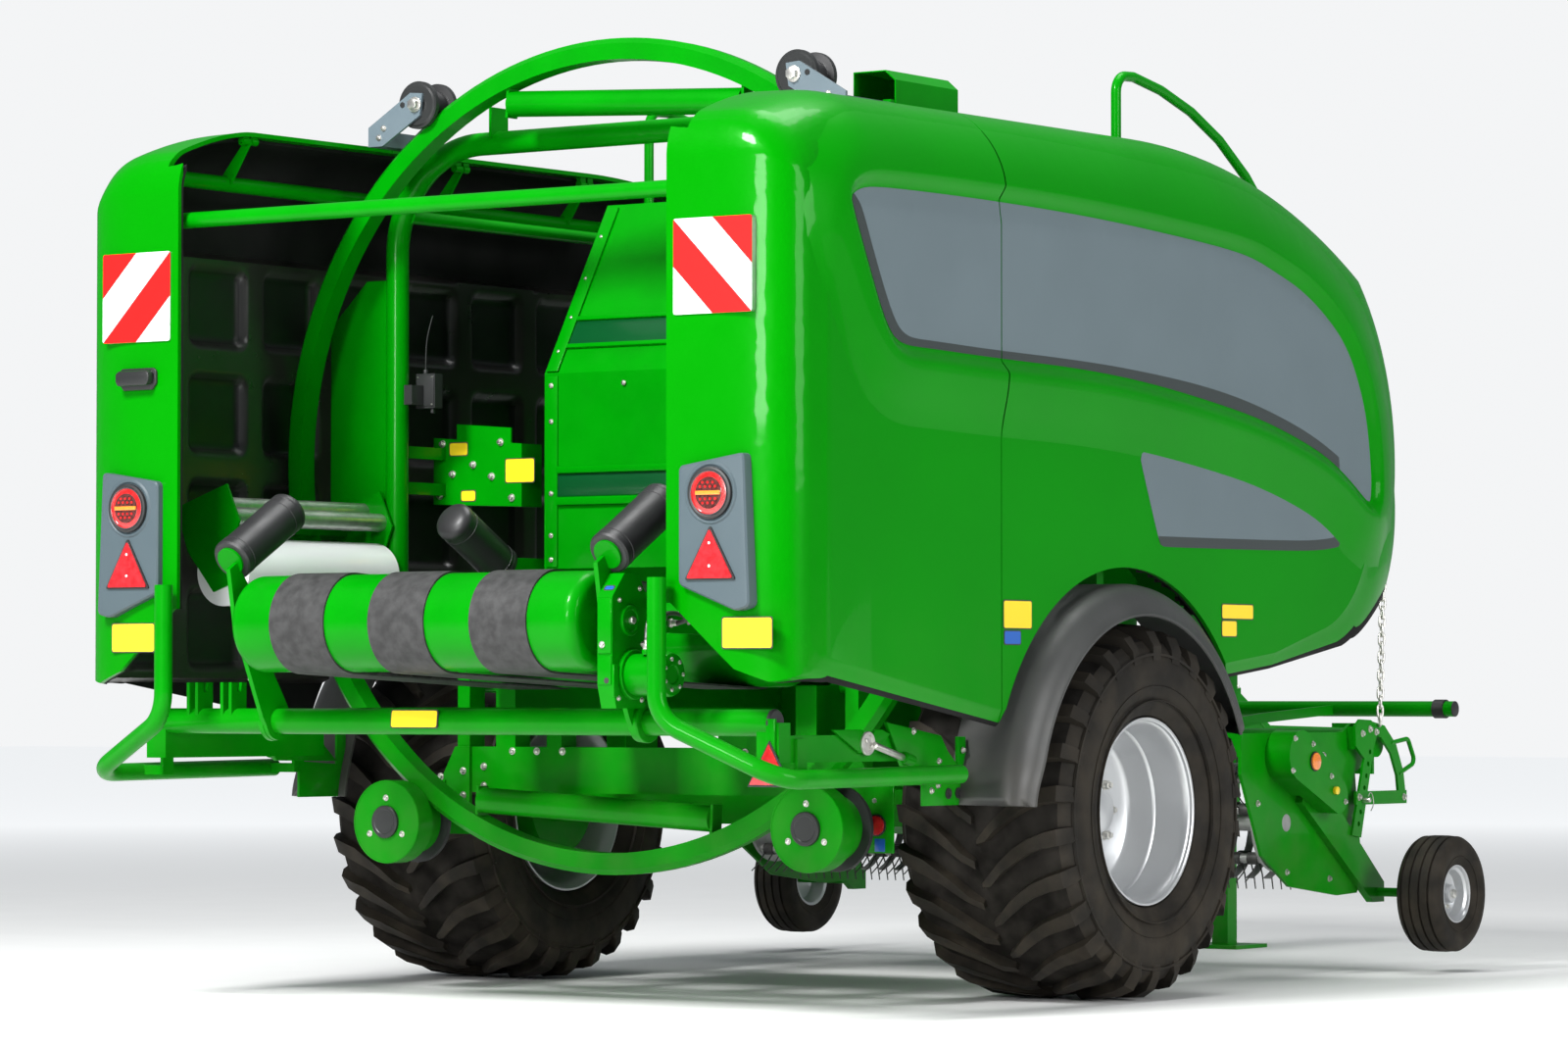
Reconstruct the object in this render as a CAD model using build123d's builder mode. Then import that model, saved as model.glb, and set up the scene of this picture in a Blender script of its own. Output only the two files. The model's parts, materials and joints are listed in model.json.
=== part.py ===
"""Towed round-baler and bale wrapper, built as separate pieces.

Row frame: +X forward to the tractor, +Y to the left, +Z up, millimetres.
The origin is on the ground, halfway along the machine's length and width.
Every profile is drawn from the road axle: the three plane helpers put a
sketch's local zero at the axle's centre line on the ground.
"""
from build123d import *
from math import atan2, cos, degrees, hypot, pi, radians, sin
import os

os.makedirs("parts", exist_ok=True)

# ---------------------------------------------------------------- driving sizes
AXLE = -1060.0            # place of the road axle along the machine
SIDES = (("left", 1), ("right", -1))
RUN = 0.3                 # running clearance of a shaft in its bore
CLEAR = 6.0               # gap between pieces that pass each other

# road wheels, 650/50 R22.5
TRACK = 2304.0
TYRE_R = 600.0
TYRE_W = 645.0
RIM_R = 298.0
RIM_W = 560.0
BARREL_R = 272.0
DISC_T = 16.0
STUB_R = 45.0
HUB_R = 105.0
AXLE_BOX = 120.0

# wrapping ring
RING_X = -920.0
RING_Z = 1733.0
RING_R = 1336.0
RING_DEPTH = 70.0         # radial height of its section
RING_W = 70.0             # width along the machine
RING_TURN = 3.0           # degrees that the ring stands round from level
TREAD_GAP = 0.5           # ring to guide roller
GUIDE_Y = 832.0
GUIDE_Z = 557.0
GUIDE_FLANGE_R = 135.0
UPPER_Y = 754.0
UPPER_Z = 2900.0
UPPER_FLANGE_R = 78.0
FLANGE_T = 8.0
CHORD_R = 42.0            # crossing rollers inside the ring
CHORD_AT = 1130.0
CHORD_HALF = 462.0
CHORD_ANGLES = (90.0 + RING_TURN, 270.0 + RING_TURN)
CLEVIS_T = 10.0

# film dispensers
ROLL_R = 110.0
ROLL_AT = 1132.0          # roll's distance from the ring's centre
ROLL_ANGLE = -22.0        # degrees above the level on the left side
SPINDLE_R = 20.0
DISPENSER_REAR = -1580.0
DISPENSER_FRONT = -800.0
END_PLATE = 8.0

# wrapping table
PIVOT_X = -1724.0
PIVOT_Z = 888.0
REAR_TUBE_R = 40.0
REAR_TUBE_HALF = 1194.0
DRUM_R = 150.0
DRUM_HALF = 670.0
DRUM_X = -1863.0
DRUM_Z = 1190.0
FRONT_DRUM_R = 138.0
FRONT_DRUM_HALF = 630.0
FRONT_DRUM_X = -800.0
FRONT_DRUM_Z = 1132.0
DRUM_CORNER = 38.0
DRUM_WALL = 12.0
BELT_T = 6.0
BELT_W = 215.0
BELT_PITCH = 390.0
TABLE_PLATE_Y = 713.0
TABLE_PLATE_T = 16.0

# bale chamber
CHAMBER_X = 300.0
CHAMBER_Z = 1800.0
CHAMBER_R = 750.0
CHAMBER_HALF = 632.0
SHEET = 12.0
ROLLER_COUNT = 18
ROLLER_R = 50.0
ROLLER_INSET = 10.0       # chamber's outside to the rollers
ROLLER_PITCH_R = CHAMBER_R - ROLLER_R - ROLLER_INSET
HINGE_Z = 2620.0

# main frame
BEAM_Y = 600.0
BEAM_W = 80.0
BEAM_LOW = 860.0
BEAM_TOP = 1000.0
BEAM_REAR = -700.0
BEAM_FRONT = 1950.0
CROSS_LOW = 650.0
CROSS_TOP = 800.0
CROSS_HALF = 800.0

# arch and door rails
ARCH_X = -750.0
ARCH_Y = 1020.0
ARCH_TOP = 2785.0
ARCH_R = 38.0
RAIL_Y = 1130.0
RAIL_Z = 2620.0
RAIL_R = 25.0
RAIL_FRONT = 620.0
RAIL_LINK_X = 500.0

# moulded side doors
DOOR_REAR = -1930.0
DOOR_TOP = 2800.0
DOOR_INNER = 950.0
DOOR_T = 14.0
LINER_T = 10.0
SEAM_X = -790.0
SEAM_GAP = 4.0
DOOR_PIN_Y = 1030.0
DOOR_PIN_Z = 2752.0
DOOR_PIN_R = 6.0
HINGES_X = (-1500.0, -400.0, 300.0)
HINGE_PLATE = 10.0
KNUCKLE_R = 13.0
KNUCKLE_L = 30.0
ARCH_CUT_R = 795.0        # wheel arch in the door

# mudguards
GUARD_X = -50.0
GUARD_Z = 580.0
GUARD_R = 735.0           # inside of the crown
GUARD_LIP_R = 650.0
GUARD_T = 8.0
GUARD_IN = TRACK / 2 + 48.0
GUARD_CROWN = TRACK / 2 + 233.0      # where the crown starts to turn down to the lip
GUARD_OUT = TRACK / 2 + 313.0
GUARD_START = 24.0        # front end of the guard, above the level
GUARD_END = 176.0

# pick-up
LIFT_X = 1080.0
LIFT_Z = 700.0
REEL_X = 1500.0
REEL_Z = 530.0
REEL_R = 270.0
REEL_HALF = 1060.0
TINE_PITCH = 70.0
BAR_COUNT = 5
PICKUP_Y = 1080.0
GAUGE_X = 2105.0
GAUGE_Y = 1370.0
GAUGE_Z = 275.0
GAUGE_R = 205.0
GAUGE_W = 165.0

# drawbar and jack
HITCH_X = 4080.0
HITCH_Z = 760.0
EYE_R = 58.0
EYE_BORE = 25.0
EYE_T = 40.0
JACK_X = 3250.0
JACK_Y = 170.0
JACK_LEG = 70.0
JACK_GAP = 0.8
JACK_WALL = 9.0

STEEL_PLATE = 12.0


# ---------------------------------------------------------------- plane helpers
def side_plane(y=0.0):
    """Side view: local x runs forward from the axle, local y up from the ground."""
    return Plane(origin=(AXLE, y, 0), x_dir=(1, 0, 0), z_dir=(0, -1, 0))


def cross_plane(x=0.0):
    """View along the machine: local x is +Y, local y is up, extrusion runs forward."""
    return Plane(origin=(AXLE + x, 0, 0), x_dir=(0, 1, 0), z_dir=(1, 0, 0))


def plan_plane(z=0.0):
    """Plan view at a height: local x runs forward from the axle, local y is +Y."""
    return Plane(origin=(AXLE, 0, z), x_dir=(1, 0, 0), z_dir=(0, 0, 1))


def place(x, y, z):
    """A point given from the axle, in the row frame."""
    return Vector(AXLE + x, y, z)


def turned_plane(x, angle):
    """Cross plane at the ring's centre, local x pointing out at an angle above +Y."""
    out = Vector(0, cos(radians(angle)), sin(radians(angle)))
    return Plane(origin=(AXLE + x, 0, RING_Z), x_dir=out, z_dir=(1, 0, 0))


# ---------------------------------------------------------------- shape helpers
def slab(x0, x1, y0, y1, z0, z1):
    """A rectangular bar between three pairs of limits, measured from the axle."""
    with BuildPart() as bar:
        with BuildSketch(plan_plane(z0)):
            with Locations(((x0 + x1) / 2, (y0 + y1) / 2)):
                Rectangle(x1 - x0, y1 - y0)
        extrude(amount=z1 - z0)
    return bar.part


def rod(x, z, y0, y1, radius, bore=0.0):
    """A round bar across the machine, or a tube when it has a bore."""
    with BuildPart() as bar:
        with BuildSketch(side_plane(y1)):
            with Locations((x, z)):
                Circle(radius)
                if bore:
                    Circle(bore, mode=Mode.SUBTRACT)
        extrude(amount=y1 - y0)
    return bar.part


def long_rod(y, z, x0, x1, radius, bore=0.0):
    """A round bar along the machine, or a tube when it has a bore."""
    with BuildPart() as bar:
        with BuildSketch(cross_plane(x0)):
            with Locations((y, z)):
                Circle(radius)
                if bore:
                    Circle(bore, mode=Mode.SUBTRACT)
        extrude(amount=x1 - x0)
    return bar.part


def strut(start, end, radius):
    """A straight round bar between two points given from the axle."""
    first, last = place(*start), place(*end)
    with BuildPart() as bar:
        with BuildSketch(Plane(origin=first, z_dir=last - first)):
            Circle(radius)
        extrude(amount=(last - first).length)
    return bar.part


def bent_tube(points, radius, bend):
    """A bent tube along points given from the axle."""
    with BuildPart() as tube:
        with BuildLine() as path:
            FilletPolyline(*[place(*p) for p in points], radius=bend)
        with BuildSketch(Plane(origin=path.line @ 0, z_dir=path.line % 0)):
            Circle(radius)
        sweep()
    return tube.part


def side_plate(points, y0, y1):
    """A plate cut to a side outline, standing between two widths."""
    with BuildPart() as plate:
        with BuildSketch(side_plane(y1)):
            with BuildLine():
                Polyline(*points, close=True)
            make_face()
        extrude(amount=y1 - y0)
    return plate.part


def cross_plate(points, x0, x1):
    """A plate cut to an outline seen along the machine."""
    with BuildPart() as plate:
        with BuildSketch(cross_plane(x0)):
            with BuildLine():
                Polyline(*points, close=True)
            make_face()
        extrude(amount=x1 - x0)
    return plate.part


def both(y0, y1):
    """The two width limits of a piece, on the left and on the right side."""
    return ((y0, y1), (-y1, -y0))


def save(part, label):
    """Give a finished piece its name and write it."""
    part.label = label
    export_step(part, f"parts/{label}.step")


# ---------------------------------------------------------------- road wheels
# The tyre is a low wide carcass; the rim is a deep dish with its hub.
FLANGE_Y = RIM_W / 2


def revolve_wheel(profile, bore_points=None):
    """Turn a half section (width, radius) about the wheel's own axis at the origin."""
    with BuildPart() as wheel:
        with BuildSketch(Plane.XY) as section:
            with BuildLine():
                profile()
            make_face()
        revolve(axis=Axis.X)
    return wheel.part


def tyre_profile(width, radius, bead, flange):
    """Closed outline of a tyre, x across its width and y its radius."""
    half = width / 2
    shoulder = radius - 0.055 * radius
    belly = bead + 0.56 * (radius - bead)
    heel = bead + 0.05 * (radius - bead)
    Polyline((-flange, heel), (-flange, bead), (flange, bead), (flange, heel))
    ThreePointArc((flange, heel), (half, belly), (half * 0.90, shoulder))
    ThreePointArc((half * 0.90, shoulder), (half * 0.82, radius * 0.985), (half * 0.66, radius - 4))
    ThreePointArc((half * 0.66, radius - 4), (0, radius), (-half * 0.66, radius - 4))
    ThreePointArc((-half * 0.66, radius - 4), (-half * 0.82, radius * 0.985), (-half * 0.90, shoulder))
    ThreePointArc((-half * 0.90, shoulder), (-half, belly), (-flange, heel))


def wheel_place(part, x, y, z, mirrored):
    """Stand a wheel made about X across the machine, its dish to the outside."""
    turn = 90 if not mirrored else -90
    return Location(place(x, y, z), (0, 0, turn)) * part


RIM_SEAT = BARREL_R + 12.0
tyre_shape = revolve_wheel(lambda: tyre_profile(TYRE_W, TYRE_R, RIM_SEAT, FLANGE_Y - 22))


def rim_profile():
    """Half section of the road rim: flanges, barrel, dished disc and hub."""
    outer = FLANGE_Y
    disc = 30.0
    Polyline(
        (-outer, RIM_R), (-outer + 10, RIM_R), (-outer + 22, RIM_SEAT), (outer - 22, RIM_SEAT),
        (outer - 10, RIM_R), (outer, RIM_R), (outer, RIM_R - 12), (outer - 14, BARREL_R),
        (disc + 70, BARREL_R - 6), (disc + DISC_T, 190), (disc + DISC_T, HUB_R), (disc + 90, HUB_R - 15),
        (disc + 90, STUB_R + RUN), (-60, STUB_R + RUN), (-60, HUB_R), (disc, HUB_R),
        (disc, 180), (disc + 40, BARREL_R - 14), (-outer + 14, BARREL_R - 8),
        (-outer, RIM_R - 12), close=True)


rim_shape = revolve_wheel(rim_profile)

for name, s in SIDES:
    save(wheel_place(tyre_shape, 0, s * TRACK / 2, TYRE_R, s < 0), f"tyre_{name}")
    save(wheel_place(rim_shape, 0, s * TRACK / 2, TYRE_R, s < 0), f"rim_{name}")

# ---------------------------------------------------------------- axle
CARRIER = 90.0
DRUM_BRAKE_R = 170.0
HUB_IN = TRACK / 2 - 60 - CLEAR      # inner face of the hub, less its gap

with BuildPart() as axle_beam:
    add(slab(-AXLE_BOX / 2, AXLE_BOX / 2, -900, 900, TYRE_R - AXLE_BOX / 2, TYRE_R + AXLE_BOX / 2))
    for y0, y1 in both(BEAM_Y - BEAM_W / 2, BEAM_Y + BEAM_W / 2):
        add(slab(-CARRIER, CARRIER, y0, y1, TYRE_R + AXLE_BOX / 2, BEAM_LOW))
    for y0, y1 in both(900, HUB_IN):
        add(rod(0, TYRE_R, y0, y1, DRUM_BRAKE_R))
    for y0, y1 in both(HUB_IN, TRACK / 2 + 100):
        add(rod(0, TYRE_R, y0, y1, STUB_R))
save(axle_beam.part, "axle_beam")

# ---------------------------------------------------------------- main frame
POST_IN, POST_OUT = 750.0, 800.0
FOOT_LOW, FOOT_TOP = 1130.0, 1200.0
LONG_Y, LONG_W = 400.0, 60.0
LONG_LOW, LONG_TOP = 860.0, 930.0
HANGER_IN, HANGER_OUT = 740.0, 900.0
HANGER_T = 14.0
UPRIGHT_W = 40.0

with BuildPart() as main_frame:
    for y0, y1 in both(BEAM_Y - BEAM_W / 2, BEAM_Y + BEAM_W / 2):
        add(slab(BEAM_REAR, BEAM_FRONT, y0, y1, BEAM_LOW, BEAM_TOP))
        add(slab(BEAM_REAR, BEAM_REAR + BEAM_W, y0, y1, CROSS_TOP, BEAM_LOW))
    add(slab(BEAM_REAR, BEAM_REAR + BEAM_W, -CROSS_HALF, CROSS_HALF, CROSS_LOW, CROSS_TOP))
    add(slab(BEAM_FRONT - BEAM_W, BEAM_FRONT, -BEAM_Y, BEAM_Y, BEAM_LOW, BEAM_TOP))
    for y0, y1 in both(POST_IN, POST_OUT):
        add(slab(BEAM_REAR, BEAM_REAR + BEAM_W, y0, y1, CROSS_TOP, FOOT_TOP))
    for y0, y1 in both(LONG_Y - LONG_W / 2, LONG_Y + LONG_W / 2):
        add(slab(BEAM_REAR, BEAM_REAR + BEAM_W, y0, y1, CROSS_TOP, LONG_LOW))
    # hangers of the lower ring rollers, with their stub shafts
    for s in (1, -1):
        add(cross_plate(
            [(s * HANGER_IN, CROSS_TOP), (s * CROSS_HALF, CROSS_TOP), (s * HANGER_OUT, GUIDE_Z + 60),
             (s * HANGER_OUT, GUIDE_Z - 45), (s * HANGER_IN, GUIDE_Z - 45)],
            BEAM_REAR - HANGER_T, BEAM_REAR))
        add(long_rod(s * GUIDE_Y, GUIDE_Z, RING_X - 95, BEAM_REAR, SPINDLE_R))
    # mudguard bars
    for s in (1, -1):
        y0, y1 = sorted((s * (BEAM_Y + BEAM_W / 2), s * (BEAM_Y + BEAM_W / 2 + UPRIGHT_W)))
        z_bar = GUARD_Z + GUARD_R + GUARD_T
        add(slab(GUARD_X - UPRIGHT_W / 2, GUARD_X + UPRIGHT_W / 2, y0, y1, BEAM_LOW, z_bar + UPRIGHT_W))
        y0, y1 = sorted((s * (BEAM_Y + BEAM_W / 2), s * (GUARD_IN + 90)))
        add(slab(GUARD_X - UPRIGHT_W / 2, GUARD_X + UPRIGHT_W / 2, y0, y1, z_bar, z_bar + UPRIGHT_W))
save(main_frame.part, "main_frame")

# ---------------------------------------------------------------- rear frame
# Cross tube that the table turns on, its two carrying beams and the outer stubs.
OUTER_IN, OUTER_OUT = 1150.0, 1230.0
OUTER_LOW, OUTER_TOP = 770.0, 850.0
OUTER_FRONT = -970.0
SLOT_PLATES = (870.0, 905.0, 1010.0, 1045.0)

with BuildPart() as rear_frame:
    add(rod(PIVOT_X, PIVOT_Z, -REAR_TUBE_HALF, REAR_TUBE_HALF, REAR_TUBE_R))
    for y0, y1 in both(LONG_Y - LONG_W / 2, LONG_Y + LONG_W / 2):
        add(slab(PIVOT_X, BEAM_REAR + BEAM_W, y0, y1, LONG_LOW, LONG_TOP))
    for y0, y1 in both(OUTER_IN, OUTER_OUT):
        add(slab(PIVOT_X - 30, OUTER_FRONT, y0, y1, OUTER_LOW, OUTER_TOP))
        add(slab(PIVOT_X - 30, PIVOT_X + 30, y0, REAR_TUBE_HALF if y0 > 0 else y1, OUTER_TOP, PIVOT_Z))
    for y in SLOT_PLATES:
        add(side_plate(
            [(PIVOT_X - 36, PIVOT_Z), (PIVOT_X + 36, PIVOT_Z), (PIVOT_X + 36, 1010), (PIVOT_X + 14, 1010),
             (PIVOT_X + 10, 980), (PIVOT_X - 10, 980), (PIVOT_X - 14, 1010), (PIVOT_X - 36, 1010)],
            y, y + STEEL_PLATE))
save(rear_frame.part, "rear_frame")

# ---------------------------------------------------------------- rear guard rails
RAIL_TUBE = 28.5
with BuildPart() as guard_rails:
    for s in (1, -1):
        add(bent_tube([(-1986, s * 956, 1314), (-1986, s * 956, 900), (-1880, s * 1330, 722),
                       (-975, s * 1360, 730)], RAIL_TUBE, 120))
        for x in (-1650, -1000):
            y0, y1 = sorted((s * OUTER_OUT, s * 1345))
            add(slab(x - 25, x + 25, y0, y1, 715, 745))
            y0, y1 = sorted((s * OUTER_OUT, s * (OUTER_OUT + 12)))
            add(slab(x - 25, x + 25, y0, y1, 715, OUTER_TOP - 10))
save(guard_rails.part, "guard_rails")

# ---------------------------------------------------------------- ring arch
PAD = 1060.0
ARM_IN, ARM_OUT = 890.0, 950.0
ARM_LOW = 2772.0
INNER_RAIL_Y = 968.0
INNER_RAIL_Z = 2560.0
CABINET_REAR = 1120.0
with BuildPart() as ring_arch:
    add(bent_tube([(ARCH_X, ARCH_Y, FOOT_TOP), (ARCH_X, ARCH_Y, ARCH_TOP), (ARCH_X, -ARCH_Y, ARCH_TOP),
                   (ARCH_X, -ARCH_Y, FOOT_TOP)], ARCH_R, 350))
    for s in (1, -1):
        y0, y1 = sorted((s * POST_IN, s * (ARCH_Y + ARCH_R)))
        add(slab(-780, BEAM_REAR, y0, y1, FOOT_LOW, FOOT_TOP))
        y0, y1 = sorted((s * 940, s * PAD))
        add(slab(ARCH_X - 20, ARCH_X + 20, y0, y1, 2590, 2650))
        # sheet between the leg and the side door
        add(cross_plate([(s * (ARCH_Y + 20), 1390), (s * 1285, 1450), (s * 1285, 2200), (s * (ARCH_Y + 110), 2350),
                         (s * (ARCH_Y + 20), 2350)], -775, -767))
        # foot of the upper roller arm, and the rail that runs forward to the cabinet
        y0, y1 = sorted((s * ARM_IN, s * ARM_OUT))
        add(slab(ARCH_X - 30, ARCH_X + 30, y0, y1, 2700, ARM_LOW))
        add(long_rod(s * INNER_RAIL_Y, INNER_RAIL_Z, ARCH_X, CABINET_REAR + 60, 22))
        y0, y1 = sorted((s * INNER_RAIL_Y, s * PAD))
        add(slab(RAIL_LINK_X - 20, RAIL_LINK_X + 20, y0, y1, INNER_RAIL_Z, 2640))
    # slotted tab on the arch
    add(side_plate([(ARCH_X - 45, 2800), (ARCH_X + 45, 2800), (ARCH_X + 45, 2900), (ARCH_X - 45, 2900)], 590, 600))
save(ring_arch.part, "ring_arch")

# ---------------------------------------------------------------- covers in the rear bay and on the roof
COVER_REAR = -500.0
with BuildPart() as drive_cover:
    add(cross_plate([(690, 1598), (690, 1808), (1064, 1836), (1064, 1612)], COVER_REAR, COVER_REAR + 110))
    add(cross_plate([(696, 1604), (696, 1802), (1058, 1830), (1058, 1618)], COVER_REAR + 6, COVER_REAR + 110),
        mode=Mode.SUBTRACT)
    add(cross_plate([(735, 1800), (735, 1862), (965, 1880), (965, 1820)], COVER_REAR, COVER_REAR + 6))
    for z in (1660, 1780):
        add(slab(ARCH_X, COVER_REAR + 60, 1012, 1028, z - 20, z + 20))
    with BuildSketch(plan_plane(1500)):
        with Locations((ARCH_X, ARCH_Y)):
            Circle(ARCH_R)
    extrude(amount=500, mode=Mode.SUBTRACT)
save(drive_cover.part, "drive_cover")

with BuildPart() as control_box:
    add(slab(ARCH_X + 56, ARCH_X + 96, 905, 985, 1925, 2040))
    add(slab(ARCH_X - 10, ARCH_X + 56, 950, 1005, 1935, 2000))
    with BuildSketch(plan_plane(1500)):
        with Locations((ARCH_X, ARCH_Y)):
            Circle(ARCH_R)
    extrude(amount=700, mode=Mode.SUBTRACT)
save(control_box.part, "control_box")

ROOF_COVER_END = -360.0
with BuildPart() as roof_cover:
    y0, y1 = -ARM_OUT - 4, -ARM_IN + 96
    outside = [(y0, 2800), (y0, 2895), (y0 + 38, 2928), (y1, 2928), (y1, 2800)]
    inside = [(y0 + 4, 2790), (y0 + 4, 2893), (y0 + 40, 2924), (y1 - 4, 2924), (y1 - 4, 2790)]
    add(cross_plate(outside, ARCH_X + 32, ROOF_COVER_END))
    add(cross_plate(inside, ARCH_X + 22, ROOF_COVER_END - 4), mode=Mode.SUBTRACT)
    add(slab(ARCH_X + 10, ROOF_COVER_END - 4, -ARM_OUT, -ARM_OUT + 30, ARM_LOW + 50, ARM_LOW + 60))
    add(slab(ARCH_X + 32, ROOF_COVER_END - 4, y0 + 4, -ARM_OUT + 30, ARM_LOW + 50, ARM_LOW + 60))
save(roof_cover.part, "roof_cover")

# ---------------------------------------------------------------- door rails
with BuildPart() as door_rails:
    add(bent_tube([(RAIL_FRONT, RAIL_Y, RAIL_Z), (-1860, RAIL_Y, RAIL_Z), (-1860, RAIL_Y, 2467),
                   (-1860, -RAIL_Y, 2467), (-1860, -RAIL_Y, RAIL_Z), (RAIL_FRONT, -RAIL_Y, RAIL_Z)], RAIL_R, 70))
    for s in (1, -1):
        y0, y1 = sorted((s * PAD, s * RAIL_Y))
        for x in (ARCH_X, RAIL_LINK_X):
            add(slab(x - 20, x + 20, y0, y1, 2600, 2640))
        for x in HINGES_X:
            add(cross_plate([(s * (RAIL_Y - 24), RAIL_Z - 6), (s * (RAIL_Y + 24), RAIL_Z + 6),
                             (s * (DOOR_PIN_Y + 8), DOOR_PIN_Z + 8), (s * (DOOR_PIN_Y - 8), DOOR_PIN_Z + 8),
                             (s * (DOOR_PIN_Y - 9), DOOR_PIN_Z - 6)], x - HINGE_PLATE / 2, x + HINGE_PLATE / 2))
            add(long_rod(s * DOOR_PIN_Y, DOOR_PIN_Z, x - KNUCKLE_L - 8, x + KNUCKLE_L + 8, DOOR_PIN_R))
save(door_rails.part, "door_rails")

# ---------------------------------------------------------------- bale chamber, fixed front half
PLATE_IN = CHAMBER_HALF - SHEET
SPLIT = 4.0
LUG_R = 46.0
PIN_R = 15.0
HINGE_TUBE_R = 32.0
SEAT_Z = BEAM_TOP
INTAKE = 1150.0


def front_half_plate():
    """Outline of the fixed half's side plate, standing on the main frame."""
    Line((CHAMBER_X + SPLIT, SEAT_Z), (CHAMBER_X + SPLIT, CHAMBER_Z + CHAMBER_R))
    ThreePointArc((CHAMBER_X + SPLIT, CHAMBER_Z + CHAMBER_R), (CHAMBER_X + CHAMBER_R * cos(pi / 4),
                  CHAMBER_Z + CHAMBER_R * sin(pi / 4)), (CHAMBER_X + CHAMBER_R, CHAMBER_Z))
    Polyline((CHAMBER_X + CHAMBER_R, CHAMBER_Z), (CHAMBER_X + CHAMBER_R, SEAT_Z), (CHAMBER_X + SPLIT, SEAT_Z))


with BuildPart() as chamber_front:
    for y0, y1 in both(PLATE_IN, CHAMBER_HALF):
        with BuildSketch(side_plane(y1)):
            with BuildLine():
                front_half_plate()
            make_face()
            with Locations((CHAMBER_X, HINGE_Z)):
                Circle(LUG_R)
            with Locations((CHAMBER_X + 40, (HINGE_Z + CHAMBER_Z + CHAMBER_R) / 2 - 10)):
                Rectangle(70, HINGE_Z - CHAMBER_Z - CHAMBER_R + 20)
        extrude(amount=y1 - y0)
    # curved cover, open at the lower front where the crop comes in
    with BuildSketch(side_plane(PLATE_IN)):
        with BuildLine():
            for r in (CHAMBER_R - 2, CHAMBER_R - 9):
                CenterArc((CHAMBER_X, CHAMBER_Z), r, -20, 109)
            for a in (radians(-20), radians(89)):
                Line((CHAMBER_X + (CHAMBER_R - 9) * cos(a), CHAMBER_Z + (CHAMBER_R - 9) * sin(a)),
                     (CHAMBER_X + (CHAMBER_R - 2) * cos(a), CHAMBER_Z + (CHAMBER_R - 2) * sin(a)))
        make_face()
    extrude(amount=2 * PLATE_IN)
    # cross members at the foot of the side plates
    add(slab(CHAMBER_X + 620, CHAMBER_X + CHAMBER_R, -PLATE_IN, PLATE_IN, SEAT_Z, SEAT_Z + 60))
    for y0, y1 in both(PLATE_IN - 60, CHAMBER_HALF):
        add(rod(CHAMBER_X, HINGE_Z, y0, y1, PIN_R))
save(chamber_front.part, "chamber_front")


def roller_row(first, last):
    """Chamber rollers between two places round the circle."""
    with BuildPart() as row:
        for i in range(first, last):
            a = radians(-90 + (i + 0.5) * 360 / ROLLER_COUNT)
            add(rod(CHAMBER_X + ROLLER_PITCH_R * cos(a), CHAMBER_Z + ROLLER_PITCH_R * sin(a),
                    -PLATE_IN, PLATE_IN, ROLLER_R))
    return row.part


save(roller_row(0, ROLLER_COUNT // 2), "chamber_rollers_front")
save(roller_row(ROLLER_COUNT // 2, ROLLER_COUNT), "chamber_rollers_rear")

# ---------------------------------------------------------------- bale chamber, rear door
DOOR_BACK = -450.0
REAR_OUTLINE = [(CHAMBER_X - SPLIT, 1050.0), (-60.0, 1090.0), (DOOR_BACK, 1390.0), (DOOR_BACK, 2040.0),
                (-100.0, 2630.0), (CHAMBER_X - SPLIT, HINGE_Z + HINGE_TUBE_R)]
COVER_T = 6.0

with BuildPart() as chamber_door:
    for y0, y1 in both(PLATE_IN, CHAMBER_HALF):
        add(side_plate(REAR_OUTLINE, y0, y1))
    with BuildSketch(side_plane(PLATE_IN)) as cover:
        with BuildLine():
            Polyline(*REAR_OUTLINE, close=True)
        make_face()
        with BuildLine():
            x_in, t = DOOR_BACK + COVER_T, COVER_T
            Polyline((CHAMBER_X, 1050 + t), (-60 + 3, 1090 + t + 1), (x_in, 1390 + 4), (x_in, 2040 - 2),
                     (-100 + 3, 2630 - t), (CHAMBER_X, HINGE_Z + HINGE_TUBE_R - t), close=True)
        make_face(mode=Mode.SUBTRACT)
    extrude(amount=2 * PLATE_IN)
    add(rod(CHAMBER_X, HINGE_Z, -PLATE_IN + CLEAR, PLATE_IN - CLEAR, HINGE_TUBE_R))
    # room for the hinge lugs and their pins
    for y0, y1 in both(PLATE_IN - CLEAR, CHAMBER_HALF):
        add(rod(CHAMBER_X, HINGE_Z, y0, y1, LUG_R + CLEAR), mode=Mode.SUBTRACT)
    for y0, y1 in both(PLATE_IN - 62, PLATE_IN):
        add(rod(CHAMBER_X, HINGE_Z, y0, y1, PIN_R + RUN), mode=Mode.SUBTRACT)
save(chamber_door.part, "chamber_door")

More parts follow.
